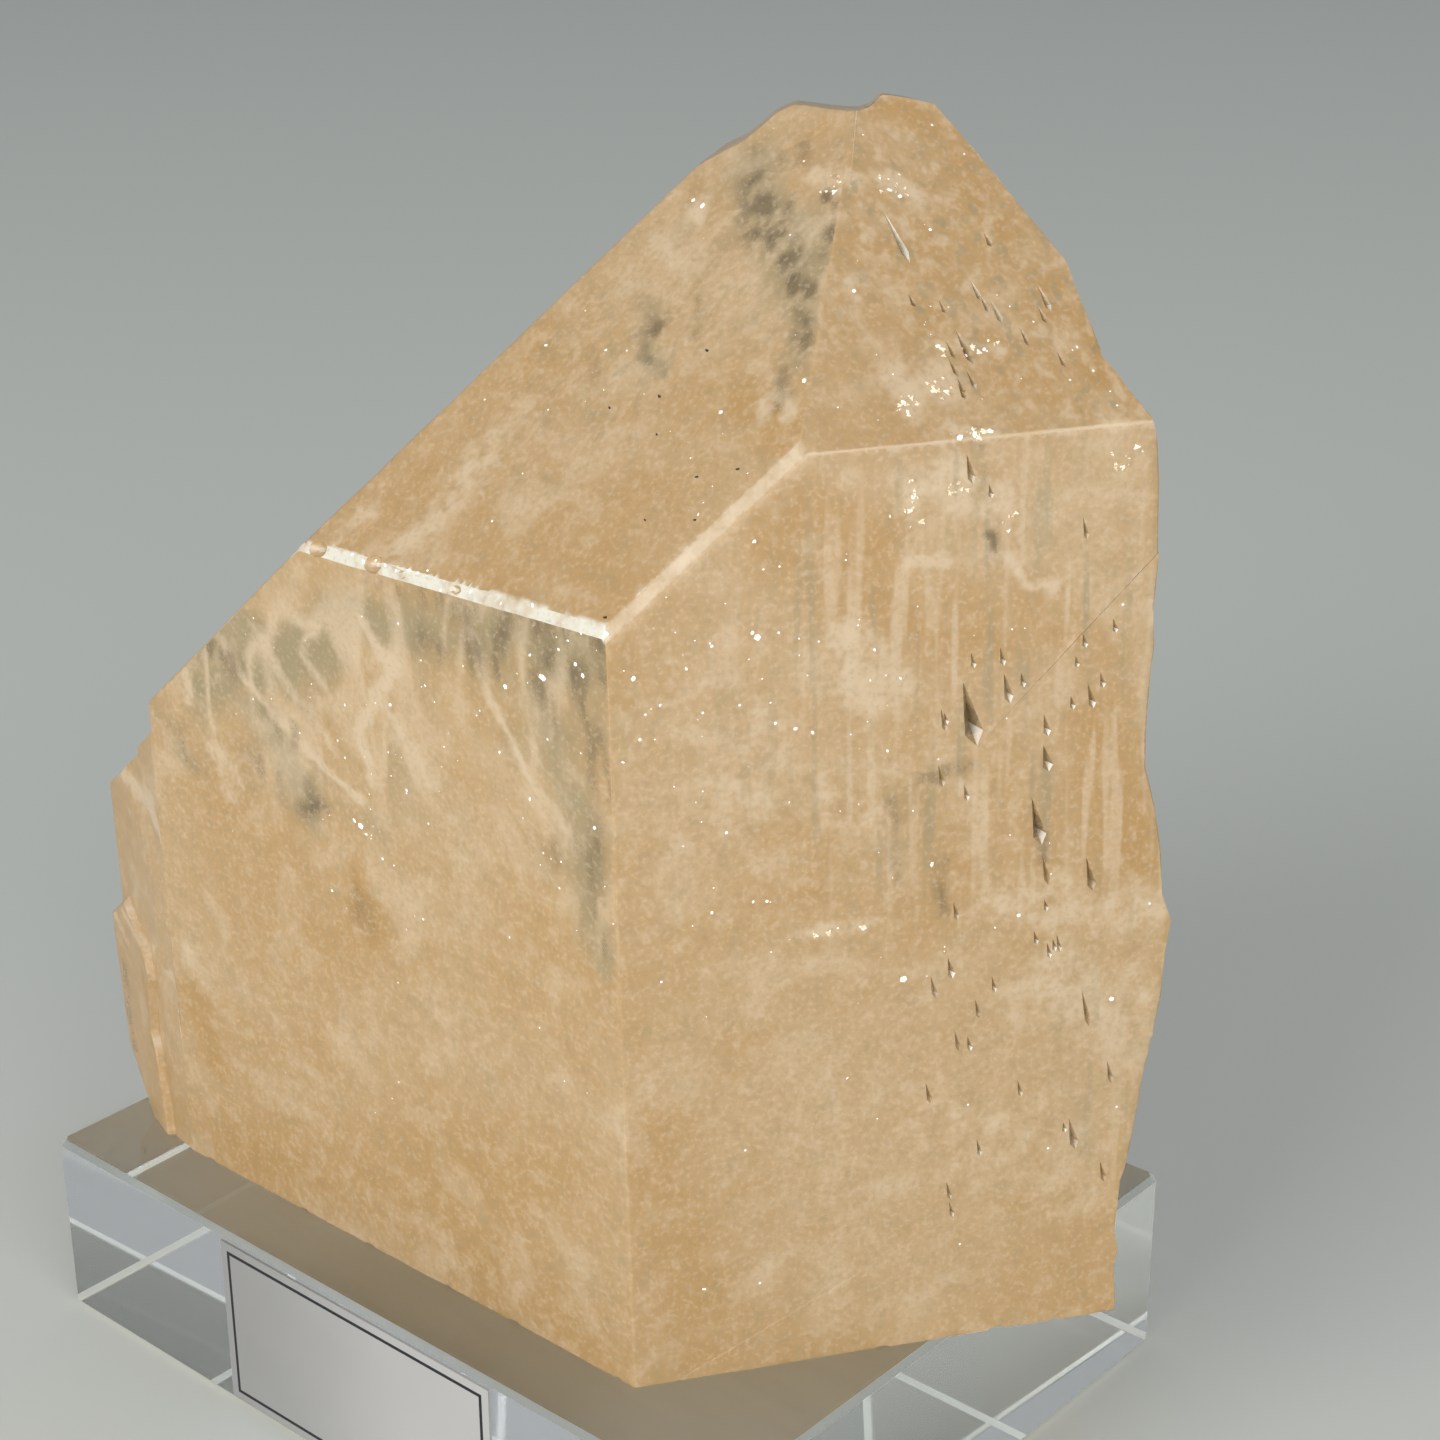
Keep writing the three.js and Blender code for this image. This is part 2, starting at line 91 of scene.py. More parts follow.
# Marks under the frosted skin, by kind and face: across and up of the start and of the
# end, and half width, all in millimetres, and strength.
MARKS = {
    ("clear", "upper_left"): (
        (-8.1, 31.0, -5.7, 28.3, 1.2, 1.0), (-6.4, 30.7, -4.2, 28.0, 1.0, 1.0),
        (-4.7, 30.2, -1.8, 26.3, 0.7, 0.9), (-8.6, 33.4, -5.9, 34.7, 1.1, 0.5),
        (-1.9, 27.7, 0.3, 24.3, 0.5, 0.9), (-2.2, 32.2, 0.7, 27.6, 0.5, 1.0),
        (0.6, 25.1, 2.9, 21.2, 0.7, 0.9), (2.2, 19.4, 3.4, 16.9, 0.5, 0.6),
        (-3.3, 35.8, -1.5, 35.4, 0.8, 0.5), (-9.8, 20.6, -7.3, 17.4, 0.5, 0.8),
        (-10.1, 19.6, -9.3, 18.6, 0.3, 0.5), (-13.0, 17.8, -11.9, 16.3, 0.3, 0.4),
        (-15.1, 13.5, -13.6, 11.5, 0.3, 0.4), (-7.1, 22.9, -5.6, 20.9, 0.3, 0.4),
    ),
    ("clear", "front_left"): (
        (-13.1, 52.9, -12.9, 48.7, 0.7, 0.8), (-10.8, 53.1, -10.6, 49.1, 0.8, 0.9),
        (-7.8, 53.1, -1.9, 53.4, 1.5, 0.9), (-5.3, 51.3, -2.4, 50.0, 1.5, 0.85),
        (-3.0, 49.2, -2.3, 42.7, 0.9, 0.75), (-6.7, 48.9, -5.5, 45.9, 1.1, 0.5),
        (-2.9, 41.2, -2.3, 35.5, 0.8, 0.7), (-4.8, 39.9, -5.7, 37.5, 0.9, 0.35),
        (-2.1, 35.5, -2.0, 28.8, 0.5, 0.5), (-21.4, 52.3, -14.5, 52.6, 0.9, 0.45),
        (-17.9, 49.4, -15.6, 48.6, 1.1, 0.4), (-40.0, 43.8, -36.9, 42.5, 0.9, 0.6),
        (-33.5, 39.4, -30.9, 38.9, 0.9, 0.6), (-30.2, 41.9, -28.7, 41.2, 0.8, 0.4),
        (-36.0, 35.8, -29.8, 34.6, 1.4, 0.4), (-30.3, 34.0, -27.8, 34.3, 0.4, 0.8),
        (-25.2, 28.4, -24.7, 26.3, 1.1, 0.35), (-43.7, 35.6, -41.7, 34.2, 1.2, 0.35),
    ),
    ("clear", "front_right"): (
        (22.7, 63.3, 22.9, 62.3, 0.5, 0.8), (23.3, 61.8, 23.6, 61.0, 0.3, 0.7),
        (23.5, 58.2, 23.9, 57.1, 0.5, 0.8), (17.8, 59.5, 18.1, 58.5, 0.5, 0.7),
        (19.8, 42.3, 23.0, 42.0, 0.2, 0.7), (18.0, 40.9, 17.9, 34.6, 0.4, 0.4),
        (21.2, 37.0, 21.1, 32.4, 0.3, 0.6), (27.9, 37.3, 28.0, 35.7, 0.3, 0.5),
    ),
    ("clear", "left_side"): (
        (-10.2, 11.6, -9.7, 4.6, 0.6, 0.5), (-12.5, 13.6, -11.7, 11.3, 0.3, 0.4),
    ),
    ("grey", "front_left"): (
        (-41.8, 42.6, -34.0, 45.4, 1.7, 0.9), (-41.0, 39.8, -26.7, 47.2, 2.3, 0.8),
        (-26.5, 49.4, -14.1, 50.4, 2.0, 0.75), (-34.6, 39.3, -29.8, 34.6, 2.3, 0.7),
        (-28.6, 36.5, -22.7, 34.5, 1.7, 0.4), (-13.1, 51.9, -2.7, 51.9, 2.6, 0.8),
        (-7.1, 48.1, -3.1, 38.4, 2.6, 0.6), (-4.4, 37.9, -2.4, 31.6, 1.5, 0.6),
        (-46.9, 37.5, -42.8, 33.9, 1.5, 0.4), (-18.5, 39.4, -13.9, 37.1, 1.8, 0.25),
    ),
    ("grey", "upper_left"): (
        (-8.9, 31.8, -0.8, 26.4, 2.6, 0.7), (0.5, 25.9, 2.8, 20.4, 1.2, 0.6),
        (-11.3, 21.3, -7.1, 17.6, 1.2, 0.5), (-16.7, 18.6, -9.5, 13.2, 1.8, 0.25),
    ),
    ("grey", "upper_right"): (
        (15.4, 15.8, 16.8, 14.6, 0.8, 0.2),
    ),
    ("grey", "front_right"): (
        (29.3, 30.2, 31.7, 24.0, 1.4, 0.3), (29.9, 25.0, 31.7, 13.3, 1.1, 0.3),
    ),
    ("veil", "front_left"): (
        (-39.7, 45.1, -35.1, 41.1, 0.5, 0.8), (-35.1, 41.1, -28.6, 37.6, 0.5, 0.8),
        (-28.6, 37.6, -24.5, 36.1, 0.4, 0.8), (-34.6, 45.7, -30.6, 42.3, 0.6, 0.6),
        (-30.6, 42.3, -27.0, 39.5, 0.5, 0.6), (-28.2, 47.6, -29.3, 45.7, 0.4, 0.7),
        (-29.3, 45.7, -27.6, 43.1, 0.4, 0.6), (-23.5, 49.1, -21.8, 47.6, 0.5, 0.8),
        (-21.8, 47.6, -20.0, 47.1, 0.6, 1.0), (-20.0, 47.1, -22.5, 44.1, 0.7, 1.0),
        (-22.5, 44.1, -24.1, 41.6, 0.5, 1.0), (-24.1, 41.6, -23.4, 37.7, 0.6, 0.8),
        (-12.9, 51.1, -12.2, 47.2, 0.3, 0.7), (-12.2, 47.2, -10.3, 44.8, 0.3, 0.8),
        (-10.3, 44.8, -7.9, 41.6, 0.3, 0.8), (-7.9, 41.6, -5.1, 39.9, 0.3, 0.6),
        (-8.9, 47.6, -7.7, 43.9, 0.3, 0.5), (-17.2, 45.4, -15.2, 46.6, 0.5, 0.4),
    ),
    ("veil", "upper_left"): (
        (2.5, 18.0, 4.0, 17.2, 0.3, 0.8), (2.1, 17.4, 2.7, 16.2, 0.3, 0.8),
        (4.0, 17.2, 4.5, 16.2, 0.3, 0.8), (-11.5, 29.8, -11.8, 25.8, 0.8, 0.5),
        (-11.2, 29.4, -10.2, 28.3, 0.3, 0.8),
    ),
    ("veil", "front_right"): (
        (25.0, 56.7, 26.5, 54.9, 0.4, 0.8), (26.5, 54.9, 28.3, 54.1, 0.4, 0.8),
    ),
    ("veil", "left_side"): (
        (-8.3, 28.9, -2.0, 29.0, 0.8, 0.9), (-2.8, 29.5, -0.3, 25.6, 0.5, 1.0),
        (-0.3, 25.6, 0.8, 19.8, 0.4, 1.0), (-9.2, 17.3, -4.7, 15.4, 0.4, 0.8),
        (-3.4, 16.0, 0.0, 14.5, 0.6, 0.9), (0.9, 15.0, 0.9, 5.9, 0.4, 1.0),
        (-11.8, 16.1, -8.4, 14.1, 0.2, 0.8),
    ),
    ("milk", "front_left"): (
        (-42.7, 40.7, -42.7, 38.6, 0.7, 0.9), (-40.7, 37.6, -38.4, 33.6, 1.4, 0.55),
        (-21.1, 42.9, -17.5, 39.7, 1.8, 0.55), (-45.1, 17.4, -43.2, 15.5, 0.9, 0.6),
        (-15.9, 35.8, -9.5, 33.5, 2.3, 0.25),
    ),
    ("milk", "upper_left"): (
        (-19.6, 1.3, -17.7, 4.0, 1.1, 0.8), (-17.7, 4.0, -16.4, 10.1, 1.7, 0.6),
        (-15.3, 11.1, -9.0, 12.6, 1.8, 0.3), (-3.8, 33.8, -0.8, 32.4, 0.8, 0.8),
        (-13.3, 27.1, -8.4, 24.9, 1.5, 0.4), (-24.2, 3.6, -25.6, 0.1, 1.1, 0.5),
    ),
    ("milk", "front_right"): (
        (14.5, 52.0, 16.0, 47.9, 1.4, 0.8), (16.1, 51.9, 18.1, 48.4, 1.2, 0.6),
        (6.4, 43.0, 16.2, 39.7, 2.6, 0.45), (9.0, 47.3, 11.6, 42.3, 2.3, 0.35),
        (20.4, 61.9, 21.8, 60.4, 1.4, 0.8), (18.2, 61.2, 18.8, 59.9, 0.7, 0.9),
        (18.7, 56.9, 20.6, 56.6, 0.5, 1.0), (23.4, 59.9, 25.1, 60.4, 0.7, 0.8),
        (23.1, 58.0, 23.8, 56.3, 0.5, 0.9), (25.8, 32.9, 34.9, 31.0, 2.8, 0.55),
        (28.8, 26.7, 34.6, 23.6, 3.4, 0.5), (21.3, 17.3, 31.5, 11.0, 4.6, 0.35),
        (10.9, 32.6, 16.4, 32.1, 0.5, 0.7), (21.5, 41.9, 25.0, 37.3, 2.3, 0.3),
    ),
    ("milk", "upper_right"): (
        (9.7, 6.4, 14.3, 6.2, 0.5, 0.8), (7.3, 4.9, 7.7, 1.8, 0.9, 0.9),
        (9.6, 4.3, 10.5, 3.4, 1.4, 0.9), (10.1, 0.4, 12.9, 0.3, 0.6, 1.0),
        (20.6, 0.2, 21.9, -1.3, 0.9, 0.8), (9.2, 19.0, 10.7, 17.7, 1.1, 0.9),
        (5.7, 19.9, 7.1, 19.0, 0.9, 0.9), (5.7, 11.5, 5.7, 9.9, 0.5, 0.7),
        (6.8, 11.7, 8.3, 11.2, 0.6, 0.5),
    ),
    ("honey", "front_left"): (
        (-25.6, 29.0, -23.8, 26.2, 2.0, 0.9), (-44.6, 13.8, -42.8, 9.3, 2.0, 1.0),
        (-45.4, 11.8, -30.5, 13.9, 3.8, 0.5), (-39.4, 2.8, -6.6, 13.6, 6.2, 0.6),
        (-34.0, 23.2, -18.4, 26.1, 2.6, 0.4), (-20.8, 33.6, -17.0, 32.5, 1.5, 0.35),
    ),
    ("honey", "front_right"): (
        (11.0, 59.5, 14.8, 57.2, 3.8, 0.95), (15.4, 55.2, 24.6, 51.0, 3.4, 0.7),
        (31.5, 44.8, 34.1, 34.7, 2.6, 0.8), (26.5, 53.5, 31.4, 49.0, 2.6, 0.6),
        (0.8, 18.2, 4.6, 6.2, 4.6, 0.6), (2.7, 46.7, 6.4, 42.3, 2.3, 0.3),
        (10.3, 49.2, 12.9, 46.9, 1.4, 0.3),
    ),
    ("honey", "upper_right"): (
        (19.9, 10.7, 20.9, 4.1, 2.8, 0.8), (14.8, 20.8, 16.1, 14.7, 2.6, 0.7),
        (10.3, 24.5, 13.3, 23.1, 1.7, 0.7), (4.0, 20.0, 17.0, 7.0, 8.0, 0.55),
        (14.3, 3.9, 19.1, 2.1, 2.0, 0.6), (17.8, 10.6, 17.7, 8.2, 0.4, 0.9),
        (16.3, 16.3, 16.5, 15.2, 0.4, 0.9),
    ),
    ("honey", "upper_left"): (
        (0.1, 16.9, 5.1, 15.5, 1.8, 0.8), (-7.9, 13.6, -2.2, 17.9, 2.6, 0.4),
        (-15.3, 16.5, -11.9, 19.6, 1.8, 0.3),
    ),
    ("honey", "left_side"): (
        (-5.3, 12.9, -4.0, 4.8, 0.7, 0.9),
    ),
    ("streak", "front_right"): (
        (16.7, 53.1, 32.7, 50.2, 8.5, 1.0), (18.2, 40.9, 33.9, 39.0, 8.5, 1.0),
        (15.4, 61.0, 33.0, 58.1, 4.6, 0.7), (5.2, 49.1, 14.8, 52.0, 4.6, 0.35),
        (30.9, 24.9, 34.3, 12.9, 3.1, 0.5),
    ),
    ("streak", "upper_right"): (
        (10.1, 17.3, 18.8, 3.6, 9.2, 0.9),
    ),
    ("streak", "upper_left"): (
        (-14.4, 15.2, -6.2, 21.5, 6.9, 0.6), (-5.3, 30.9, 3.6, 19.1, 3.8, 0.6),
    ),
    ("wisp", "front_left"): (
        (-40.8, 42.2, -21.7, 48.4, 4.6, 1.0), (-37.0, 37.1, -18.4, 40.8, 3.8, 0.7),
        (-13.2, 50.6, -2.8, 49.3, 3.8, 0.8), (-9.1, 43.5, -3.2, 35.5, 3.5, 0.6),
    ),
    ("wisp", "upper_left"): (
        (-8.4, 30.3, 0.2, 27.3, 4.6, 0.5),
    ),
    ("wisp", "front_right"): (
        (5.2, 47.8, 16.8, 41.0, 4.6, 0.35),
    ),
}

# White crumpled fractures at the skin: face, centre, and width and height, millimetres.
FRACTURES = (
    ("upper_left", (-2.2, 32.6), (1.6, 1.7)),
    ("upper_right", (10.0, 18.3), (1.7, 2.4)),
    ("upper_right", (12.5, 6.2), (4.2, 0.9)),
    ("upper_right", (7.5, 2.8), (1.5, 2.3)),
    ("upper_right", (10.1, 4.0), (1.8, 2.0)),
    ("front_right", (18.4, 60.3), (2.0, 2.6)),
    ("front_right", (21.5, 61.0), (1.6, 2.0)),
    ("front_right", (24.8, 58.9), (1.0, 1.2)),
    ("front_right", (32.6, 62.0), (2.0, 1.8)),
    ("front_right", (13.6, 32.1), (5.0, 0.4)),
    ("upper_right", (11.5, 0.5), (2.8, 1.2)),
)

# Bright glints, by face: across, up and width in millimetres.
GLINTS = {
    "front_left": (
        (-6.9, 49.7, 0.9), (-10.2, 48.2, 0.5), (-3.4, 50.7, 0.5), (-7.9, 50.9, 0.4),
        (-4.0, 51.3, 0.4), (-5.4, 51.9, 0.3), (-4.6, 52.7, 0.3), (-25.6, 42.8, 0.3),
        (-21.1, 44.0, 0.4), (-30.5, 39.4, 0.2), (-17.6, 46.3, 0.3), (-12.9, 45.5, 0.2),
        (-10.9, 43.5, 0.3), (-2.7, 40.7, 0.4), (-8.3, 41.0, 0.4), (-19.9, 38.2, 0.3),
        (-22.7, 32.3, 0.3), (-28.1, 28.2, 0.3), (-18.9, 29.0, 0.3), (-5.7, 37.4, 0.2),
        (-21.5, 40.5, 0.2), (-8.1, 24.6, 0.2), (-22.2, 15.2, 0.2), (-24.7, 34.2, 0.7),
        (-25.3, 34.4, 0.5), (-24.2, 33.7, 0.4),
    ),
    "front_right": (
        (1.1, 50.9, 0.5), (8.9, 52.8, 0.6), (8.6, 53.1, 0.4), (4.4, 51.2, 0.3),
        (6.0, 52.5, 0.3), (11.3, 46.5, 0.4), (12.4, 46.1, 0.4), (10.0, 47.0, 0.3),
        (9.7, 48.4, 0.2), (0.3, 45.5, 0.3), (20.4, 36.1, 0.5), (18.6, 28.1, 0.7),
        (33.2, 24.6, 0.5), (26.4, 31.7, 0.4), (24.8, 31.0, 0.2), (9.4, 34.9, 0.3),
        (8.5, 35.0, 0.3), (5.8, 34.6, 0.3), (6.8, 40.0, 0.3), (14.1, 32.4, 0.2),
        (17.3, 44.3, 0.3), (25.4, 51.6, 0.2), (16.4, 51.2, 0.3), (18.1, 49.1, 0.3),
        (4.9, 6.9, 0.4), (14.8, 21.4, 0.3), (1.4, 46.9, 0.3), (2.7, 49.0, 0.3),
        (12.8, 52.1, 0.2), (15.3, 52.9, 0.2), (14.5, 57.2, 0.2), (9.3, 57.1, 0.2),
        (10.3, 57.2, 0.2),
    ),
    "upper_left": (
        (-17.2, 17.3, 0.4), (-12.2, 18.0, 0.3), (-0.8, 15.8, 0.4), (-11.1, 29.4, 0.6),
        (-12.1, 29.7, 0.4), (-10.5, 18.3, 0.2), (4.9, 9.1, 0.4), (1.7, 9.0, 0.3),
        (-19.6, 12.5, 0.2), (-14.0, 13.0, 0.2), (3.9, 19.2, 0.5),
    ),
    "upper_right": (
        (5.8, 11.0, 0.4), (10.3, 6.7, 0.5), (12.1, 6.1, 0.4), (13.2, 6.2, 0.4),
        (13.6, 6.8, 0.3), (7.3, 3.0, 0.5), (7.4, 2.3, 0.4), (10.3, 0.3, 0.6),
        (11.3, 0.4, 0.6), (12.3, 0.5, 0.6), (19.2, 5.9, 0.3), (11.6, 15.0, 0.3),
        (9.6, 18.1, 0.5), (10.2, 17.6, 0.4),
    ),
    "bevel_left": (
        (-23.1, -0.2, 0.4), (-21.9, -0.4, 0.4), (-21.2, -0.1, 0.3), (-19.9, -0.2, 0.4),
        (-18.8, -0.3, 0.3), (-17.7, 0.0, 0.5), (-16.9, 0.0, 0.4), (-16.2, 0.3, 0.3),
        (-14.5, -0.6, 0.3), (-12.0, -0.1, 0.4), (-9.2, -0.2, 0.3), (-6.6, 0.3, 0.4),
        (-0.3, 0.0, 0.6),
    ),
}

# Least half width of a mark, in millimetres, and how often the skin is split at most.
LEAST_WIDTH = 0.45
DIVISIONS = 8

# How strongly the narrow bevels between the faces carry a pale painted highlight, as a
# share.
BEVEL_HIGHLIGHT = {"bevel_left": 1.0, "bevel_right": 0.2}

# Optics of topaz and acrylic.
TOPAZ_IOR = 1.62
TOPAZ_SEE_THROUGH = 0.3
TOPAZ_DENSITY = 12.0
ACRYLIC_IOR = 1.49

# Mending of the skin: corners nearer than this are merged, thinner slivers are taken out,
# and faces that meet at less than these angles are one face, or are shaded smoothly.
MERGED = 1e-5
SLIVER = 4e-5
ONE_FACE = math.radians(0.3)
EVEN_FACE = math.radians(1)
SMOOTH = math.radians(28)

# An edge is worn if it is this long and this sharp, between faces this broad.
WORN_LENGTH = 2 * MM
WORN_ANGLE = math.radians(15)
WORN_AREA = 3 * MM * MM

# How nearly a facet follows a growth face to carry its marks, or to lie flush with it,
# and how far off the skin the search for a spot on it starts.
FOLLOWS, FLUSH = 0.96, 0.97
REACH = 0.01

# Etch pits: how far behind their face, how far clear of the others, how far in their
# painted shade is at its darkest, and how steep their sides are at most.
PIT_LEAST, PIT_MOST = 0.03 * MM, 0.9 * MM
PIT_CLEARANCE = 0.8 * MM
PIT_DARKEST = 0.35 * MM
PIT_STEEPEST = 0.15

# Waves per metre of the stray that marks take and of the skin's relief, broad and tight.
STRAY_WAVES = (260.0, 900.0)
RELIEF_WAVES = (420.0, 1100.0)

# Stray glints: spread across and up around a placed one, and widths, in millimetres.
GLINT_SPREAD = (3.0, 4.0)
GLINT_WIDTHS = (0.08, 0.2)

# Softboxes: place, and side of the square.
LAMPS = {
    "key": ((-0.05, -0.88, 0.34), 0.70),
    "fill": ((0.80, -0.32, 0.28), 0.60),
    "top": ((0.0, 0.20, 0.90), 0.70),
}
LAMP_AIM = (0.0, 0.0, 0.05)

# The camera's own axes: to its right, and backwards from what it looks at.
CAMERA_RIGHT = (0.7532, 0.6577, -0.0058)
CAMERA_BACK = (0.6075, -0.6923, 0.3894)

# Small black mineral flakes on the upper left face: across and up in millimetres.
SPECKS = (
    (-4.4, 19.6), (-6.0, 15.8), (-4.6, 13.3), (0.1, 11.3), (2.7, 12.5),
    (1.7, 8.6), (-1.9, 7.7), (-0.8, 1.0), (-9.3, 14.2),
)


def tone(name, description, default):
    """A colour that a user may change."""
    return FloatVectorProperty(
        name=name, description=description, subtype="COLOR", default=default,
        min=0.0, max=1.0)


def length(name, description, default, low, high):
    """A length that a user may change, in metres."""
    return FloatProperty(
        name=name, description=description, subtype="DISTANCE", unit="LENGTH",
        default=default, min=low, max=high)


def finish(name, description, default):
    """A roughness that a user may change."""
    return FloatProperty(
        name=name, description=description, subtype="FACTOR", default=default,
        min=0.0, max=1.0)


def power(name, description, default):
    """A lamp's power that a user may change."""
    return FloatProperty(
        name=name, description=description, unit="POWER", default=default,
        min=0.0, max=200.0)


class TopazCrystalLook(bpy.types.PropertyGroup):
    """Colours and finish of the crystal"""

    honey: tone("Honey", "Deepest body colour", (0.435, 0.248, 0.078))
    peach: tone("Peach", "Usual body colour", (0.495, 0.333, 0.166))
    milk: tone("Milk", "Colour of cloudy places", (0.630, 0.485, 0.315))
    grey: tone("Grey", "Colour of the clearer greenish places", (0.310, 0.245, 0.130))
    # Painted shade: the depth colour darkens the clear places, standing in for a dark
    # view through them.
    depth: tone("Depth", "Colour seen through clear places", (0.135, 0.096, 0.048))
    # Painted highlight: the rim colour lights the bevels between the faces as if they
    # caught the light.
    rim: tone("Rim", "Colour of the bevels between the faces", (0.750, 0.735, 0.630))
    absorbed: tone("Absorption", "Tint that the crystal's body adds", (0.95, 0.83, 0.62))
    frost: finish("Frost", "Roughness of the frosted skin", 0.36)
    clear: finish("Clear", "Roughness of the clear places", 0.16)
    edge: length(
        "Edge", "Width of the worn rim along the crystal's edges", 0.00014, 0.0, 0.001)
    fine: length(
        "Fine Division", "Longest edge on the faces that carry marks",
        0.00085, 0.0003, 0.005)
    coarse: length(
        "Coarse Division", "Longest edge on the other faces", 0.0024, 0.0003, 0.01)
    stray: length(
        "Stray", "How far the outlines of the marks wander", 0.0009, 0.0, 0.005)
    relief: length("Relief", "Depth of the skin's shallow relief", 0.00004, 0.0, 0.0005)
    seat: length("Seat", "Air gap between crystal and block", 0.00005, 0.0, 0.0005)
    # Painted light: the base's downward faces glow by emission, standing in for light
    # passed down through the crystal.
    glow: FloatProperty(
        name="Glow", description="Light that the crystal hands down through its base",
        default=1.3, min=0.0, max=5.0)


class TopazMarkLook(bpy.types.PropertyGroup):
    """Sizes of the small marks in and on the crystal"""

    flake_size: length(
        "Flake Size", "Usual width of a flake in a fracture", 0.00055, 0.0001, 0.003)
    crumple: length("Crumple", "How far a flake leaves its plane", 0.00007, 0.0, 0.002)
    stray_glints: IntProperty(
        name="Stray Glints", description="Small glints strewn around the placed ones",
        default=150, min=0, max=400)
    speck_size: length("Speck Size", "Length of a black flake", 0.00045, 0.0001, 0.002)
    seed: IntProperty(name="Seed", description="Start of the scatter", default=7)


class TopazBlockLook(bpy.types.PropertyGroup):
    """Colours of the display block and its label"""

    tint: tone("Tint", "Tint of the clear acrylic", (0.95, 0.965, 0.955))
    # Painted light: the chamfers get a glow of their own, standing in for light carried
    # through the block.
    edge_light: tone("Edge Light", "Light in the block's chamfers", (0.22, 0.24, 0.225))
    film: tone("Film", "Colour of the label film", (0.42, 0.41, 0.40))
    ink: tone("Ink", "Colour of the label's frame line", (0.02, 0.02, 0.025))
    line_width: length(
        "Line Width", "Width of the label's frame line", 0.00028, 0.0001, 0.001)
    line_inset: length(
        "Line Inset", "From the film's rim to its frame line", 0.0008, 0.0, 0.005)


class TopazStageLook(bpy.types.PropertyGroup):
    """Floor, lamps and camera"""

    floor_size: length("Floor Size", "Side of the square floor", 6.0, 1.0, 20.0)
    floor_drop: length("Floor Drop", "Air gap under the block", 0.0001, 0.0, 0.001)
    floor_colour: tone("Floor Colour", "Colour of the floor", (0.50, 0.515, 0.48))
    key_power: power("Key Power", "Power of the main softbox", 9.6)
    fill_power: power("Fill Power", "Power of the softbox at the right", 5.6)
    top_power: power("Top Power", "Power of the softbox overhead", 0.5)
    sky: FloatProperty(
        name="Sky", description="Strength of the even light all round",
        default=0.44, min=0.0, max=5.0)
    camera_place: FloatVectorProperty(
        name="Camera Place", description="Where the camera stands", subtype="TRANSLATION",
        unit="LENGTH", default=(0.12967, -0.13360, 0.12993))
    camera_lens: FloatProperty(
        name="Lens", description="Focal length in millimetres on a 36 mm sensor",
        default=70.26, min=10.0, max=300.0)


# --- Places on the faces ----------------------------------------------------------------


def face_frame(face):
    """Outward, across and up directions of a face, and its corner in metres."""
    outward, corner = FACES[face]
    outward = Vector(outward).normalized()
    across = Vector((0.0, 0.0, 1.0)).cross(outward).normalized()
    return outward, across, outward.cross(across), Vector(corner) * MM


def face_point(face, mark):
    """The point of a face that lies across and up from its corner, in metres."""
    _, across, up, corner = face_frame(face)
    return corner + across * mark[0] * MM + up * mark[1] * MM


def on_skin(face, mark):
    """The spot on the crystal's skin at a mark, and the face's outward direction."""
    outward = face_frame(face)[0]
    start = face_point(face, mark) + outward * REACH
    hit, spot, _, _ = bpy.data.objects["topaz"].ray_cast(start, -outward)
    if not hit:
        raise RuntimeError(f"no skin of the crystal at {mark} on {face}")
    return spot, outward


# --- Node helpers -----------------------------------------------------------------------


def new_material(name):
    """A fresh material with its node tree and surface shader."""
    material = bpy.data.materials.new(name)
    material.use_nodes = True
    return material, material.node_tree, material.node_tree.nodes["Principled BSDF"]


def put(tree, value, socket):
    """Link a socket, or set a plain value."""
    if isinstance(value, bpy.types.NodeSocket):
        tree.links.new(value, socket)
    else:
        socket.default_value = value


def fill_in(tree, node, values):
    """Link or set the inputs of a node, by name or number."""
    for label, value in dict(values).items():
        put(tree, value, node.inputs[label])


def add_node(tree, kind, values=(), **settings):
    """Add a node with its settings and inputs, and give back its outputs."""
    node = tree.nodes.new(kind)
    for name, value in settings.items():
        setattr(node, name, value)
    fill_in(tree, node, values)
    return node.outputs


def maths(tree, operation, *values, clamp=False):
    settings = {"operation": operation, "use_clamp": clamp}
    return add_node(tree, "ShaderNodeMath", enumerate(values), **settings)[0]


def vector_maths(tree, operation, *values):
    return add_node(tree, "ShaderNodeVectorMath", enumerate(values), operation=operation)


def axes(tree, vector):
    """The three parts of a vector."""
    return add_node(tree, "ShaderNodeSeparateXYZ", {"Vector": vector})


def ramp(tree, value, low, high, start=0.0, end=1.0):
    """Smooth step of value from low to high."""
    values = {
        "Value": value, "From Min": low, "From Max": high, "To Min": start, "To Max": end}
    return add_node(
        tree, "ShaderNodeMapRange", values, interpolation_type="SMOOTHSTEP")["Result"]


def colour(value):
    """A colour property as the four numbers that a socket takes."""
    if isinstance(value, bpy.types.NodeSocket):
        return value
    return (value[0], value[1], value[2], 1.0)


def blend(tree, amount, first, second):
    """Colour mix of first and second."""
    values = {0: amount, 6: colour(first), 7: colour(second)}
    return add_node(tree, "ShaderNodeMix", values, data_type="RGBA")[2]


def stretched(tree, point, scale, turn=(0.0, 0.0, 0.0)):
    """The point, turned and then scaled along each axis."""
    values = {"Rotation": turn, "Scale": scale, "Vector": point}
    return add_node(tree, "ShaderNodeMapping", values)["Vector"]


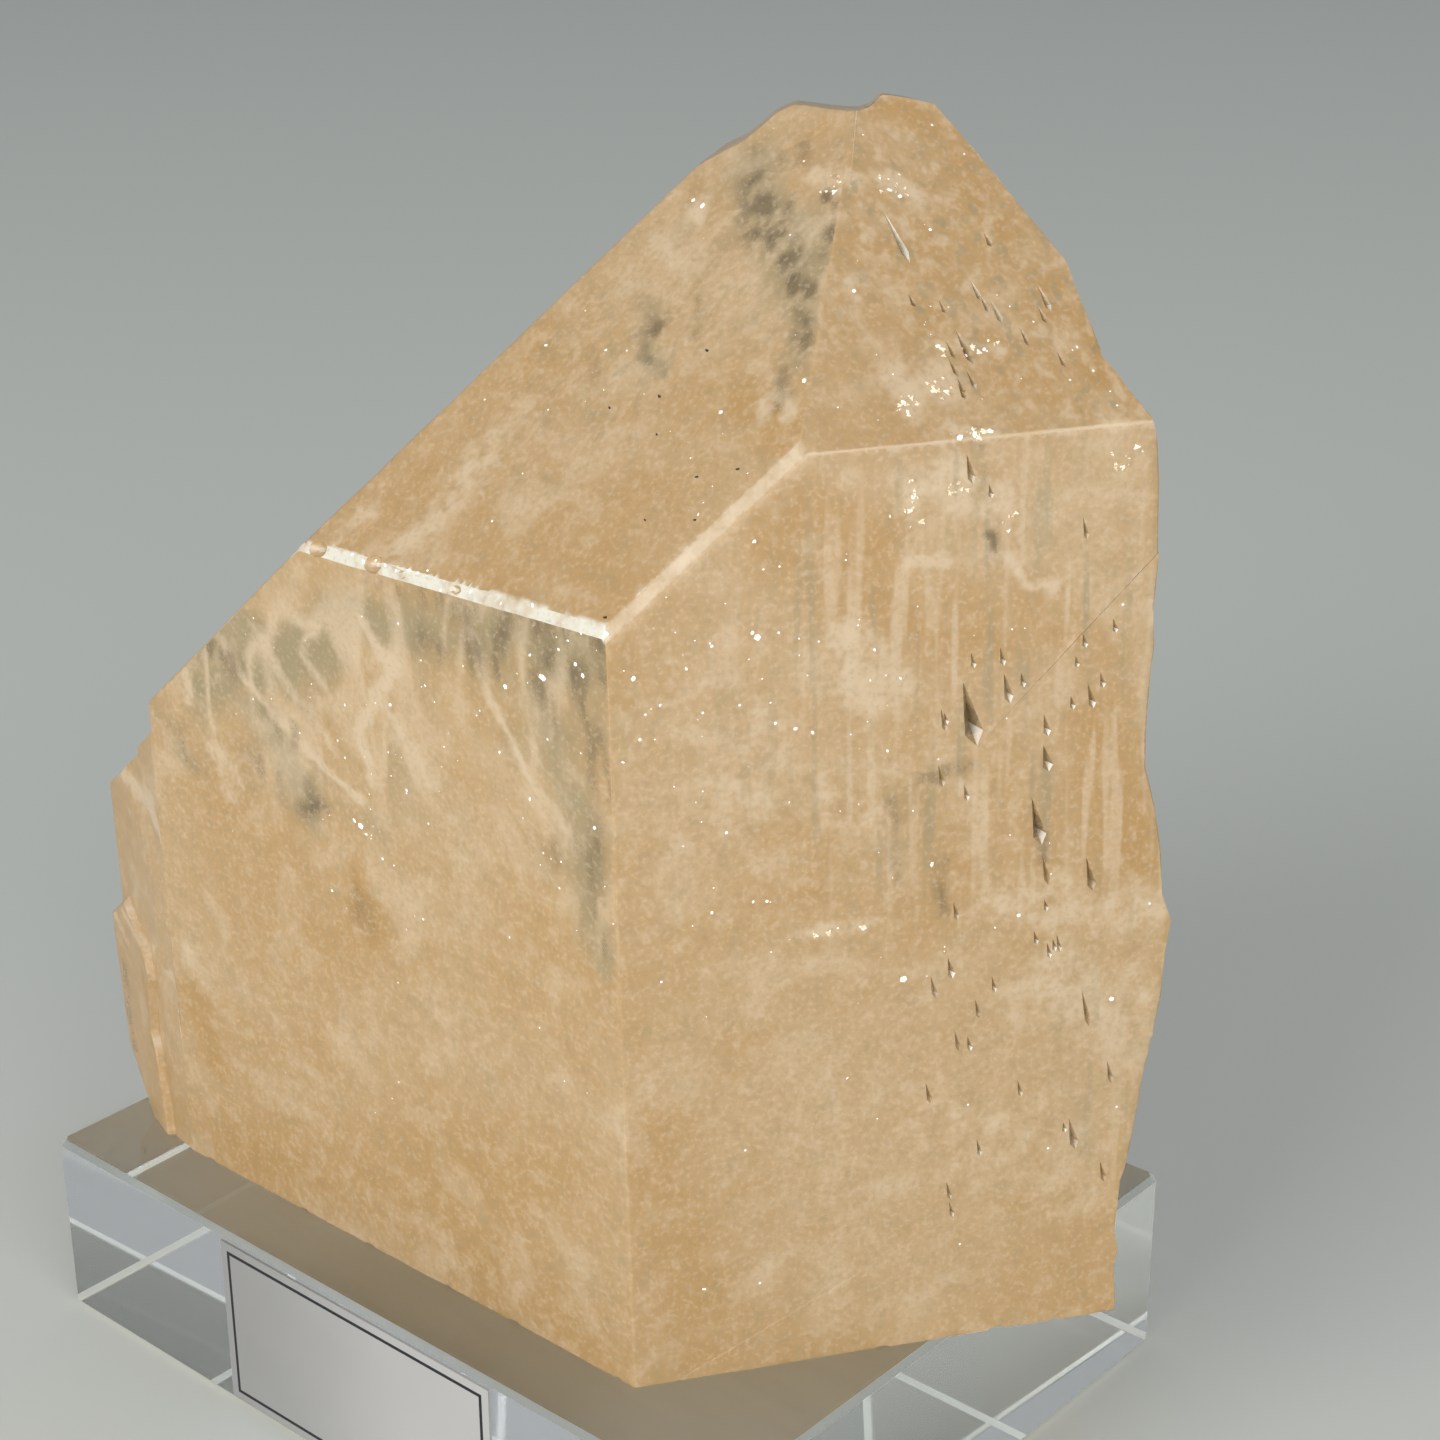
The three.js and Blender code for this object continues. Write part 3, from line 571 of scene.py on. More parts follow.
def grain(tree, point, scale, detail=3.0, roughness=0.5, distortion=0.0):
    """Noise of the given scale per metre."""
    values = {
        "Vector": point, "Scale": scale, "Detail": detail, "Roughness": roughness,
        "Distortion": distortion}
    return add_node(tree, "ShaderNodeTexNoise", values)["Fac"]


def object_point(tree):
    """Object coordinates and normal."""
    place = add_node(tree, "ShaderNodeTexCoord")
    return place["Object"], place["Normal"]


def new_group(name, inputs, outputs):
    """An empty node group, its input node's outputs and its output node's inputs."""
    tree = bpy.data.node_groups.new(name, "ShaderNodeTree")
    for label, kind in inputs.items():
        tree.interface.new_socket(label, in_out="INPUT", socket_type=kind)
    for label, kind in outputs.items():
        tree.interface.new_socket(label, in_out="OUTPUT", socket_type=kind)
    start = tree.nodes.new("NodeGroupInput")
    end = tree.nodes.new("NodeGroupOutput")
    return tree, start.outputs, end.inputs


def use_group(tree, group, **values):
    """Place a group in a tree and give back its outputs."""
    return add_node(tree, "ShaderNodeGroup", values, node_tree=group)


# --- Shared effects ---------------------------------------------------------------------

VALUE = "NodeSocketFloat"
VECTOR = "NodeSocketVector"
BLACK, WHITE = (0.0, 0.0, 0.0), (1.0, 1.0, 1.0)


def facing_group():
    """Mask of the surfaces that face one way."""
    tree, start, end = new_group(
        "Facing", {"Normal": VECTOR, "Direction": VECTOR}, {"Mask": VALUE})
    along = vector_maths(tree, "DOT_PRODUCT", start["Normal"], start["Direction"])
    put(tree, ramp(tree, along["Value"], 0.955, 0.985), end["Mask"])
    return tree


def glint_highlight_group():
    """Mask of tiny bright points, painted highlights that stand in for glints; the share
    says how many there are.
    """
    tree, start, end = new_group(
        "Sparks", {"Point": VECTOR, "Scale": VALUE, "Share": VALUE}, {"Mask": VALUE})
    cells = add_node(
        tree, "ShaderNodeTexVoronoi", {"Vector": start["Point"], "Scale": start["Scale"]})
    parts = add_node(tree, "ShaderNodeSeparateColor", {"Color": cells["Color"]})
    kept = maths(tree, "LESS_THAN", parts[0], start["Share"])
    spot = ramp(tree, cells["Distance"], 0.17, 0.09)
    put(tree, maths(tree, "MULTIPLY", spot, kept), end["Mask"])
    return tree


def folds_group():
    """Crests and troughs of thin folded veils, from one warped noise."""
    tree, start, end = new_group(
        "Folds", {"Point": VECTOR, "Scale": VALUE}, {"Crest": VALUE, "Trough": VALUE})
    value = grain(tree, start["Point"], start["Scale"], 0.0, 0.5, 0.8)
    off = maths(tree, "ABSOLUTE", maths(tree, "SUBTRACT", value, 0.5))
    put(tree, ramp(tree, off, 0.11, 0.0), end["Crest"])
    put(tree, ramp(tree, value, 0.47, 0.36), end["Trough"])
    return tree


# --- Materials --------------------------------------------------------------------------


def painted(tree, name):
    """The strength of a painted mark."""
    return add_node(tree, "ShaderNodeAttribute", attribute_name=name)["Fac"]


def ragged(tree, name, rough, bite=1.3):
    """A painted mark with its rim broken up by a rough noise."""
    strength = painted(tree, name)
    eaten = maths(tree, "MULTIPLY", maths(tree, "SUBTRACT", rough, 0.5), bite)
    reach = maths(tree, "ADD", strength, maths(tree, "MULTIPLY", eaten, strength))
    return ramp(tree, reach, 0.1, 0.85)


def share(tree, mask, amount):
    """A part of a mask."""
    return maths(tree, "MULTIPLY", mask, amount)


def topaz_body(tree, look, point, normal, facing):
    """Colour of the crystal, and masks of its clear places and fine sugar."""
    broad = grain(tree, point, 48.0, 0.0)
    cloud = grain(tree, point, 190.0, 2.0, 0.6, 0.7)
    mottle = grain(tree, point, 620.0, 2.0, 0.7)
    sugar = grain(tree, point, 2600.0, 1.0, 0.6)
    upright = grain(tree, stretched(tree, point, (1.0, 1.0, 0.08)), 950.0, 1.0, 0.6)
    shards = grain(tree, stretched(tree, point, (1.0, 1.0, 0.35)), 850.0, 1.0, 0.5)
    leaning = stretched(tree, point, (1.0, 1.0, 0.5), (0.0, 0.35, 0.0))
    folds = use_group(tree, folds_group(), Point=leaning, Scale=190.0)

    wisp, streaks = painted(tree, "wisp"), painted(tree, "streak")
    shape = maths(tree, "MULTIPLY_ADD", shards, 4.0, -1.35)
    clear = maths(tree, "MULTIPLY", painted(tree, "clear"), shape, clamp=True)
    trough = share(tree, folds["Trough"], wisp)
    crest = share(tree, folds["Crest"], wisp)
    pale = share(tree, ramp(tree, upright, 0.54, 0.7), streaks)
    dark = share(tree, ramp(tree, upright, 0.44, 0.3), streaks)
    between = [0.5 * (a + b) for a, b in zip(look.peach, look.honey)]

    # One over the other, from the broad body colour to the finest sugar.
    layers = [
        (share(tree, ragged(tree, "honey", cloud), 0.9), look.honey),
        (ramp(tree, cloud, 0.5, 0.72, end=0.42), look.milk),
        (ramp(tree, cloud, 0.46, 0.28, end=0.4), look.honey),
        (share(tree, ragged(tree, "grey", cloud), 0.85), look.grey),
        (ramp(tree, mottle, 0.5, 0.72, end=0.3), look.milk),
        (ramp(tree, mottle, 0.48, 0.3, end=0.22), look.grey),
        (share(tree, trough, 0.55), look.grey),
        (share(tree, crest, 0.75), look.milk),
        (share(tree, ragged(tree, "milk", mottle, 3.0), 0.75), look.milk),
        (share(tree, ragged(tree, "veil", mottle, 1.0), 0.85), look.milk),
        (share(tree, pale, 0.55), look.milk),
        (share(tree, dark, 0.6), look.grey),
        # Painted shade: the clear places are darkened with the depth colour, as if a dark
        # view showed through.
        (share(tree, clear, 0.8), look.depth),
        # Painted shade: the etch pits are darkened, the deeper ones more.
        (share(tree, painted(tree, "pit"), 0.8), look.depth),
    ]
    # Painted highlight: the narrow bevels between the faces are drawn pale, as if
    # catching the light.
    for face, highlight_share in BEVEL_HIGHLIGHT.items():
        mask = use_group(tree, facing, Normal=normal, Direction=face_frame(face)[0])[0]
        mask = share(tree, mask, ramp(tree, mottle, 0.3, 0.6, 0.45, 0.95))
        layers.append((share(tree, mask, highlight_share), look.rim))
    layers += [
        (ramp(tree, sugar, 0.5, 0.75, end=0.34), look.milk),
        (ramp(tree, sugar, 0.5, 0.25, end=0.26), look.grey),
    ]
    body = blend(tree, ramp(tree, broad, 0.35, 0.65), look.peach, between)
    for mask, tint in layers:
        body = blend(tree, mask, body, tint)
    # Painted highlights: tiny white points, denser in the wisps and clear places.
    busy = maths(tree, "MAXIMUM", wisp, clear)
    painted_glint_share = maths(tree, "ADD", share(tree, busy, 0.05), 0.006)
    painted_sparks = use_group(tree, glint_highlight_group(), Point=point, Scale=1500.0, Share=painted_glint_share)
    return blend(tree, painted_sparks[0], body, WHITE), clear, sugar


def topaz_material(look):
    """Frosted champagne topaz with clearer windows, milky clouds and honey zones, plus
    painted shade, painted highlights and a painted glow.
    """
    material, tree, skin = new_material("champagne_topaz")
    point, normal = object_point(tree)
    facing = facing_group()
    body, clear, sugar = topaz_body(tree, look, point, normal, facing)
    roughness = ramp(tree, clear, 0.0, 1.0, look.frost, look.clear)
    grainy = ramp(tree, sugar, 0.3, 0.7, -0.06, 0.06)
    # Painted light: the faces that point down glow in the peach colour, as if handing
    # light down into the block.
    under = use_group(tree, facing, Normal=normal, Direction=(0.0, 0.0, -1.0))
    fill_in(tree, skin, {
        "Base Color": body,
        "Roughness": maths(tree, "ADD", roughness, grainy, clamp=True),
        "Emission Color": blend(tree, under[0], BLACK, look.peach),
        "Emission Strength": look.glow,
        "IOR": TOPAZ_IOR,
        "Transmission Weight": TOPAZ_SEE_THROUGH,
    })
    inside = add_node(
        tree, "ShaderNodeVolumeAbsorption",
        {"Color": colour(look.absorbed), "Density": TOPAZ_DENSITY})
    put(tree, inside["Volume"], tree.nodes["Material Output"].inputs["Volume"])
    return material


def acrylic_material(look):
    """Polished clear acrylic, faintly scratched, with ground chamfers that glow with
    painted light.
    """
    material, tree, skin = new_material("clear_acrylic")
    point, normal = object_point(tree)
    rub = ramp(tree, grain(tree, point, 60.0, 0.0), 0.35, 0.75, 0.005, 0.03)
    x, y, z = axes(tree, vector_maths(tree, "ABSOLUTE", normal)["Vector"])
    steepest = maths(tree, "MAXIMUM", maths(tree, "MAXIMUM", x, y), z)
    chamfer = maths(tree, "LESS_THAN", steepest, 0.95)
    wear = grain(tree, stretched(tree, point, (0.15, 1.0, 1.0)), 900.0, 0.0)
    worn = [part * 0.97 for part in look.tint]
    fill_in(tree, skin, {
        "Base Color": blend(tree, ramp(tree, wear, 0.5, 0.8), look.tint, worn),
        "Roughness": maths(tree, "MULTIPLY_ADD", chamfer, 0.5, rub),
        # Painted light: the chamfers glow by emission, though they are no lamp.
        "Emission Color": blend(tree, chamfer, BLACK, look.edge_light),
        "Emission Strength": 1.0,
        "IOR": ACRYLIC_IOR,
        "Transmission Weight": 1.0,
    })
    return material


def label_material(look):
    """Silvery film with a thin frame line, left bare inside, and a painted sheen along
    its length.
    """
    material, tree, skin = new_material("silvery_label_film")
    point, _ = object_point(tree)
    x, _, z = axes(tree, point)
    low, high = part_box("block_label")
    centre, half = (low + high) / 2, (high - low) / 2
    gaps = []
    for value, middle, reach in ((x, centre.x, half.x), (z, centre.z, half.z)):
        away = maths(tree, "ABSOLUTE", maths(tree, "SUBTRACT", value, middle))
        gaps.append(maths(tree, "SUBTRACT", away, reach - look.line_inset))
    rim = maths(tree, "ABSOLUTE", maths(tree, "MAXIMUM", *gaps))
    line = maths(tree, "LESS_THAN", rim, look.line_width / 2)
    # Painted sheen: the film goes from a shaded tint at one end to a lit one at the
    # other.
    shaded_film, bright = ([part * light for part in look.film] for light in (0.8, 1.25))
    film = blend(tree, ramp(tree, x, low.x, high.x), shaded_film, bright)
    fill_in(tree, skin, {
        "Base Color": blend(tree, line, film, look.ink),
        "Roughness": ramp(tree, grain(tree, point, 120.0, 3.0), 0.3, 0.7, 0.28, 0.42),
        "Metallic": 0.55,
    })
    return material


def flecked_material(name, scale, detail, tints, rough, steps=None, **plain):
    """Two tints and two roughnesses, mixed by one noise, and more sharply by steps."""
    material, tree, skin = new_material(name)
    value = grain(tree, object_point(tree)[0], scale, detail)
    amount = ramp(tree, value, *steps) if steps else value
    fill_in(tree, skin, {
        "Base Color": blend(tree, amount, *tints),
        "Roughness": ramp(tree, value, 0.3, 0.7, *rough), **plain})
    return material


def fracture_material(look):
    """White crumpled fracture faces that catch the light."""
    bright = [min(1.0, part + 0.28) for part in look.milk]
    return flecked_material(
        "fracture_white", 1500.0, 3.0, (look.milk, bright), (0.12, 0.3),
        steps=(0.35, 0.65), IOR=TOPAZ_IOR)


def glint_material():
    """Bright little facets, coloured near-white as painted glints."""
    return flecked_material(
        "bright_glint", 3000.0, 2.0, ((0.98, 0.97, 0.92), (0.92, 0.86, 0.74)),
        (0.05, 0.15), IOR=TOPAZ_IOR)


def speck_material():
    """Black mineral flakes."""
    return flecked_material(
        "black_flake", 2500.0, 2.0, ((0.008, 0.007, 0.006), (0.04, 0.03, 0.025)),
        (0.3, 0.6))


def floor_material(look):
    """Plain pale floor."""
    material, tree, skin = new_material("pale_floor")
    value = grain(tree, object_point(tree)[0], 3.0, 0.0)
    darker = [part * 0.97 for part in look.floor_colour]
    fill_in(tree, skin, {
        "Base Color": blend(tree, value, look.floor_colour, darker), "Roughness": 0.75})
    return material


# --- Modelling helpers ------------------------------------------------------------------


def mode(name):
    bpy.ops.object.mode_set(mode=name)


def deselect():
    if bpy.context.mode != "OBJECT":
        mode("OBJECT")
    bpy.ops.object.select_all(action="DESELECT")


def pick(piece):
    """Make one object the only selected and active one."""
    deselect()
    piece.select_set(True)
    bpy.context.view_layer.objects.active = piece


def give(piece, material):
    """Put one material on a piece in place of what it has."""
    piece.data.materials.clear()
    piece.data.materials.append(material)


def turned(outward, angle):
    """A turn that lays a flat shape's +Z along outward, spun about it by angle."""
    lie = outward.to_track_quat("Z", "Y").to_matrix().to_4x4()
    return lie @ Matrix.Rotation(angle, 4, "Z")


def laid_on(face, spot, turn, size):
    """A place on a face with +X across it and +Y up it, turned and sized there."""
    outward, across, up, _ = face_frame(face)
    lie = Matrix((across, up, outward)).transposed().to_4x4()
    return Matrix.Translation(spot) @ lie @ turn @ Matrix.Diagonal((*size, 1.0))


def join_as(name, parts, material):
    """Join the parts to one piece at the origin that rides on the root body."""
    deselect()
    for part in parts:
        part.select_set(True)
    bpy.context.view_layer.objects.active = parts[0]
    bpy.ops.object.transform_apply(location=True, rotation=True, scale=True)
    bpy.ops.object.join()
    piece = bpy.context.view_layer.objects.active
    piece.name = name
    piece.data.name = name
    give(piece, material)
    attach(piece, "root")
    return piece


def copies(pattern, count):
    """Copies of a pattern, each with its own mesh."""
    made = []
    for _ in range(count):
        twin = pattern.copy()
        twin.data = pattern.data.copy()
        bpy.context.scene.collection.objects.link(twin)
        made.append(twin)
    return made


def crumpled_flake(name, chance):
    """A small ragged sheet, crumpled out of its plane, with its rim sunk."""
    deselect()
    bpy.ops.mesh.primitive_circle_add(vertices=7, radius=0.5, fill_type="TRIFAN")
    sheet = bpy.context.object
    sheet.name = name
    mode("EDIT")
    bpy.ops.mesh.select_all(action="SELECT")
    bpy.ops.mesh.subdivide(number_cuts=1)
    mode("OBJECT")
    for vertex in sheet.data.vertices:
        reach = vertex.co.length
        vertex.co.x += chance.uniform(-0.12, 0.12)
        vertex.co.y += chance.uniform(-0.12, 0.12)
        vertex.co.z = chance.uniform(-0.4, 1.0) - 1.2 * (reach > 0.4)
    return sheet


def splinter(name, chance):
    """A small many-faced splinter."""
    deselect()
    bpy.ops.mesh.primitive_ico_sphere_add(subdivisions=1, radius=0.5)
    body = bpy.context.object
    body.name = name
    for vertex in body.data.vertices:
        vertex.co *= chance.uniform(0.65, 1.15)
    return body


# --- Operators --------------------------------------------------------------------------


def merged_copy(node, name):
    """A copy of a CAD node with its triangles merged and its flat faces made whole."""
    pick(node)
    bpy.ops.object.duplicate()
    piece = bpy.context.object
    piece.name = name
    piece.data.name = name
    del piece["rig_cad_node"]
    mode("EDIT")
    bpy.ops.mesh.select_all(action="SELECT")
    bpy.ops.mesh.remove_doubles(threshold=MERGED)
    bpy.ops.mesh.customdata_custom_splitnormals_clear()
    bpy.ops.mesh.dissolve_limited(angle_limit=ONE_FACE)
    mode("OBJECT")
    return piece


def wear_edges(piece, width):
    """Round the long sharp edges a little, as handling and growth leave them."""
    mode("OBJECT")
    mesh = piece.data
    flat = {}
    for polygon in mesh.polygons:
        for key in polygon.edge_keys:
            flat.setdefault(key, []).append(polygon)
    sharp = {key for key, sides in flat.items() if is_long_edge(mesh, key, sides)}
    mode("EDIT")
    bpy.ops.mesh.select_mode(type="EDGE")
    bpy.ops.mesh.select_all(action="DESELECT")
    mode("OBJECT")
    for edge in mesh.edges:
        edge.select = edge.key in sharp
    mode("EDIT")
    bpy.ops.mesh.bevel(offset=width, offset_type="OFFSET", segments=2, profile=0.5)
    mode("OBJECT")


def is_long_edge(mesh, key, sides):
    """True for a long edge between two broad faces that meet at a sharp angle."""
    first, last = (mesh.vertices[index].co for index in key)
    if len(sides) != 2 or (last - first).length < WORN_LENGTH:
        return False
    if min(side.area for side in sides) < WORN_AREA:
        return False
    return sides[0].normal.angle(sides[1].normal) > WORN_ANGLE


def divide(piece, fine, coarse):
    """Split the skin until edges are shorter than fine, or than coarse off the marks."""
    pick(piece)
    mode("EDIT")
    bpy.ops.mesh.select_mode(type="EDGE")
    bpy.ops.mesh.select_all(action="SELECT")
    bpy.ops.mesh.quads_convert_to_tris()
    bpy.ops.mesh.dissolve_degenerate(threshold=SLIVER)
    bpy.ops.mesh.quads_convert_to_tris()
    bpy.ops.mesh.beautify_fill(angle_limit=EVEN_FACE)
    mode("OBJECT")
    for _ in range(DIVISIONS):
        if not select_long_edges(piece.data, fine, coarse):
            break
        mode("EDIT")
        bpy.ops.mesh.subdivide(number_cuts=1, ngon=False)
        bpy.ops.mesh.select_all(action="SELECT")
        bpy.ops.mesh.quads_convert_to_tris()
        bpy.ops.mesh.beautify_fill(angle_limit=EVEN_FACE)
        mode("OBJECT")


def vectors(items, name):
    """A vector of each item of a mesh, as rows of three."""
    values = np.empty((len(items), 3), np.float32)
    items.foreach_get(name, values.ravel())
    return values


def numbers(items, name, width=1):
    """Whole numbers of each item of a mesh, one or more to an item."""
    values = np.empty(len(items) * width, np.int32)
    items.foreach_get(name, values)
    return values.reshape(-1, width) if width > 1 else values


def select_long_edges(mesh, fine, coarse):
    """Select the edges that are still too long, and say whether there are any."""
    ends = numbers(mesh.edges, "vertices", 2)
    places = vectors(mesh.vertices, "co")
    spans = np.linalg.norm(places[ends[:, 0]] - places[ends[:, 1]], axis=1)
    limit = np.full(len(spans), coarse)
    limit[numbers(mesh.loops, "edge_index")[growth_faces(mesh) >= 0]] = fine
    long = spans > limit
    mesh.edges.foreach_set("select", long)
    mesh.polygons.foreach_set("select", np.zeros(len(mesh.polygons), bool))
    mesh.vertices.foreach_set("select", np.isin(np.arange(len(places)), ends[long]))
    return bool(long.any())


def roughen(piece, depth):
    """Press the skin in here and there, so that faces and edges aren't ruled flat."""
    vertices = piece.data.vertices
    places = vectors(vertices, "co")
    outward = vectors(vertices, "normal")
    broad, tight = RELIEF_WAVES
    value = np.array([
        noise.noise(Vector(place) * broad) + 0.6 * noise.noise(Vector(place) * tight)
        for place in places])
    places -= outward * (depth * np.maximum(0.0, 0.5 + value))[:, None]
    vertices.foreach_set("co", places.ravel())


def seat_base(piece, gap):
    """Level the base and leave a hair of air between it and the block."""
    for vertex in piece.data.vertices:
        if vertex.co.z < BLOCK_TOP + gap * 2:
            vertex.co.z = BLOCK_TOP + gap


def growth_faces(mesh):
    """For each face corner the number of the growth face that it lies in, or -1."""
    normals = vectors(mesh.polygons, "normal")
    match = normals @ np.array([face_frame(face)[0] for face in FACES]).T
    nearest = np.where(match.max(1) > FOLLOWS, match.argmax(1), -1)
    return np.repeat(nearest, numbers(mesh.polygons, "loop_total"))


def wandered(places, stray):
    """The places, each moved by a smooth stray, so that marks get natural outlines."""
    moved = np.empty_like(places)
    for row, place in enumerate(places):
        spot = Vector(place)
        broad, tight = (noise.noise_vector(spot * waves) for waves in STRAY_WAVES)
        moved[row] = spot + (broad + tight * 0.4) * stray
    return moved


def mark_cover(places, face, mark):
    """How strongly one mark of a face covers each of the places."""
    width, strength = mark[4:]
    outward = np.array(face_frame(face)[0])
    first = np.array(face_point(face, mark[:2]))
    way = np.array(face_point(face, mark[2:4])) - first
    apart = places - first
    along = np.clip(apart @ way / (way @ way), 0.0, 1.0)
    gap = apart - along[:, None] * way
    gap -= (gap @ outward)[:, None] * outward
    gap = np.linalg.norm(gap, axis=1) / (max(width, LEAST_WIDTH) * MM)
    return np.clip((1.5 - gap) / 1.2, 0.0, 1.0) * strength


def paint(piece, name, values):
    """Store one value for each face corner."""
    layer = piece.data.attributes.new(name, "FLOAT", "CORNER")
    layer.data.foreach_set("value", values.astype(np.float32))


def paint_marks(piece, stray):
    """Store how strongly each kind of mark covers each face corner."""
    mesh = piece.data
    growth = growth_faces(mesh)
    places = wandered(vectors(mesh.vertices, "co"), stray)
    places = places[numbers(mesh.loops, "vertex_index")]
    covers = {kind: np.zeros(len(places)) for kind, _ in MARKS}
    for (kind, face), marks in MARKS.items():
        own = growth == list(FACES).index(face)
        for mark in marks:
            fresh = mark_cover(places[own], face, mark)
            covers[kind][own] = np.maximum(covers[kind][own], fresh)
    for kind, cover in covers.items():
        paint(piece, kind, cover)


def paint_pits(piece):
    """Paint shade into the hollows of the faces on the right: just behind one, clear of
    the rest.
    """
    mesh = piece.data
    centres = vectors(mesh.polygons, "center")
    normals = vectors(mesh.polygons, "normal")
    behind = {}
    for face in FACES:
        outward, _, _, corner = face_frame(face)
        behind[face] = (np.array(corner) - centres) @ np.array(outward)
    hollow_shade = np.zeros(len(centres))
    for face in ("front_right", "upper_right"):
        others = [behind[other] for other in FACES if other != face]
        clear_of_rest = np.min(others, axis=0) > PIT_CLEARANCE
        near = (behind[face] > PIT_LEAST) & (behind[face] < PIT_MOST)
        facing = normals @ np.array(face_frame(face)[0])
        own = near & clear_of_rest & (facing > PIT_STEEPEST) & (facing < FLUSH)
        # Painted shade: the deeper a hollow lies, the darker it is drawn.
        depth = np.clip(behind[face] / PIT_DARKEST, 0.35, 1.0)
        hollow_shade = np.where(own, depth, hollow_shade)
    paint(piece, "pit", np.repeat(hollow_shade, numbers(mesh.polygons, "loop_total")))


class TopazAddCrystal(bpy.types.Operator):
    """Make the crystal with worn edges and its frosted, honey-zoned finish"""

    bl_idname = "topaz.add_crystal"
    bl_label = "Crystal"

    def execute(self, context):
        look = context.scene.topaz_crystal
        piece = merged_copy(CAD_CRYSTAL, "topaz")
        wear_edges(piece, look.edge)
        divide(piece, look.fine, look.coarse)
        paint_pits(piece)
        noise.seed_set(context.scene.topaz_marks.seed)
        paint_marks(piece, look.stray)
        roughen(piece, look.relief)
        seat_base(piece, look.seat)
        bpy.ops.object.shade_smooth_by_angle(angle=SMOOTH)
        give(piece, topaz_material(look))
        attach(piece, "root")
        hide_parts("topaz_crystal")
        return {"FINISHED"}


class TopazAddFractures(bpy.types.Operator):
    """Add the white flaky fractures that reach the skin"""

    bl_idname = "topaz.add_fractures"
    bl_label = "Fractures"

    def execute(self, context):
        marks = context.scene.topaz_marks
        chance = random.Random(marks.seed)
        patterns = [crumpled_flake(f"flake_pattern_{i}", chance) for i in range(3)]
        parts = []
        for face, centre in flake_centres(chance):
            flake = copies(chance.choice(patterns), 1)[0]
            wide = marks.flake_size * chance.uniform(0.4, 1.3)
            size = (wide, wide * chance.uniform(0.4, 0.9), marks.crumple)
            turn = Matrix.Rotation(chance.uniform(0, math.tau), 4, "Z")
            flake.matrix_world = laid_on(face, on_skin(face, centre)[0], turn, size)
            parts.append(flake)
        for pattern in patterns:
            bpy.data.objects.remove(pattern)
        white = fracture_material(context.scene.topaz_crystal)
        join_as("fractures", parts, white)
        return {"FINISHED"}


def flake_centres(chance):
    """Seeded centres of the flakes that make up each fracture, as (face, centre)."""
    found = []
    for face, (across, up), (wide, tall) in FRACTURES:
        for _ in range(3 + round(1.6 * wide * tall)):
            centre = (chance.gauss(across, wide / 4), chance.gauss(up, tall / 4))
            found.append((face, centre))
    return found


def placed_glints():
    """The placed glints, as (face, (across, up, width))."""
    return [(face, row) for face, rows in GLINTS.items() for row in rows]


def stray_spots(count, chance):
    """Seeded spots around the placed glints, as (spot, outward, width)."""
    found, placed = [], placed_glints()
    while len(found) < count:
        face, row = chance.choice(placed)
        outward = face_frame(face)[0]
        start = face_point(face, [chance.gauss(*pair) for pair in zip(row, GLINT_SPREAD)])
        hit, spot, normal, _ = bpy.data.objects["topaz"].ray_cast(
            start + outward * REACH, -outward)
        if hit and normal.dot(outward) > FLUSH:
            found.append((spot, outward, chance.uniform(*GLINT_WIDTHS) * MM))
    return found


class TopazAddGlints(bpy.types.Operator):
    """Add the bright glints, placed and strewn"""

    bl_idname = "topaz.add_glints"
    bl_label = "Glints"

    def execute(self, context):
        marks = context.scene.topaz_marks
        chance = random.Random(marks.seed + 1)
        spots = [(*on_skin(face, row), row[2] * MM) for face, row in placed_glints()]
        spots += stray_spots(marks.stray_glints, chance)
        pattern = splinter("glint_pattern", chance)
        parts = copies(pattern, len(spots))
        for part, (spot, outward, wide) in zip(parts, spots):
            shape = Matrix.Diagonal(
                (wide, wide * chance.uniform(0.5, 1.0), wide * 0.35, 1.0))
            turn = turned(outward, chance.uniform(0, math.tau))
            sunk = Matrix.Translation(spot - outward * wide * 0.05)
            part.matrix_world = sunk @ turn @ shape
        bpy.data.objects.remove(pattern)
        join_as("glints", parts, glint_material())
        return {"FINISHED"}


class TopazAddSpecks(bpy.types.Operator):
    """Add the small black flakes on the upper left face"""

    bl_idname = "topaz.add_specks"
    bl_label = "Specks"

    def execute(self, context):
        marks = context.scene.topaz_marks
        chance = random.Random(marks.seed + 2)
        pattern = splinter("speck_pattern", chance)
        parts = copies(pattern, len(SPECKS))
        for part, centre in zip(parts, SPECKS):
            spot, outward = on_skin("upper_left", centre)
            long = marks.speck_size * chance.uniform(0.6, 1.2)
            shape = Matrix.Diagonal((long, long * 0.45, long * 0.3, 1.0))
            turn = turned(outward, chance.uniform(-0.6, 0.6))
            part.matrix_world = Matrix.Translation(spot) @ turn @ shape
        bpy.data.objects.remove(pattern)
        join_as("specks", parts, speck_material())
        return {"FINISHED"}


class TopazDressBlock(bpy.types.Operator):
    """Give the display block and its label their finishes"""

    bl_idname = "topaz.dress_block"
    bl_label = "Block and Label"

    def execute(self, context):
        look = context.scene.topaz_block
        give(BLOCK, acrylic_material(look))
        give(LABEL, label_material(look))
        return {"FINISHED"}


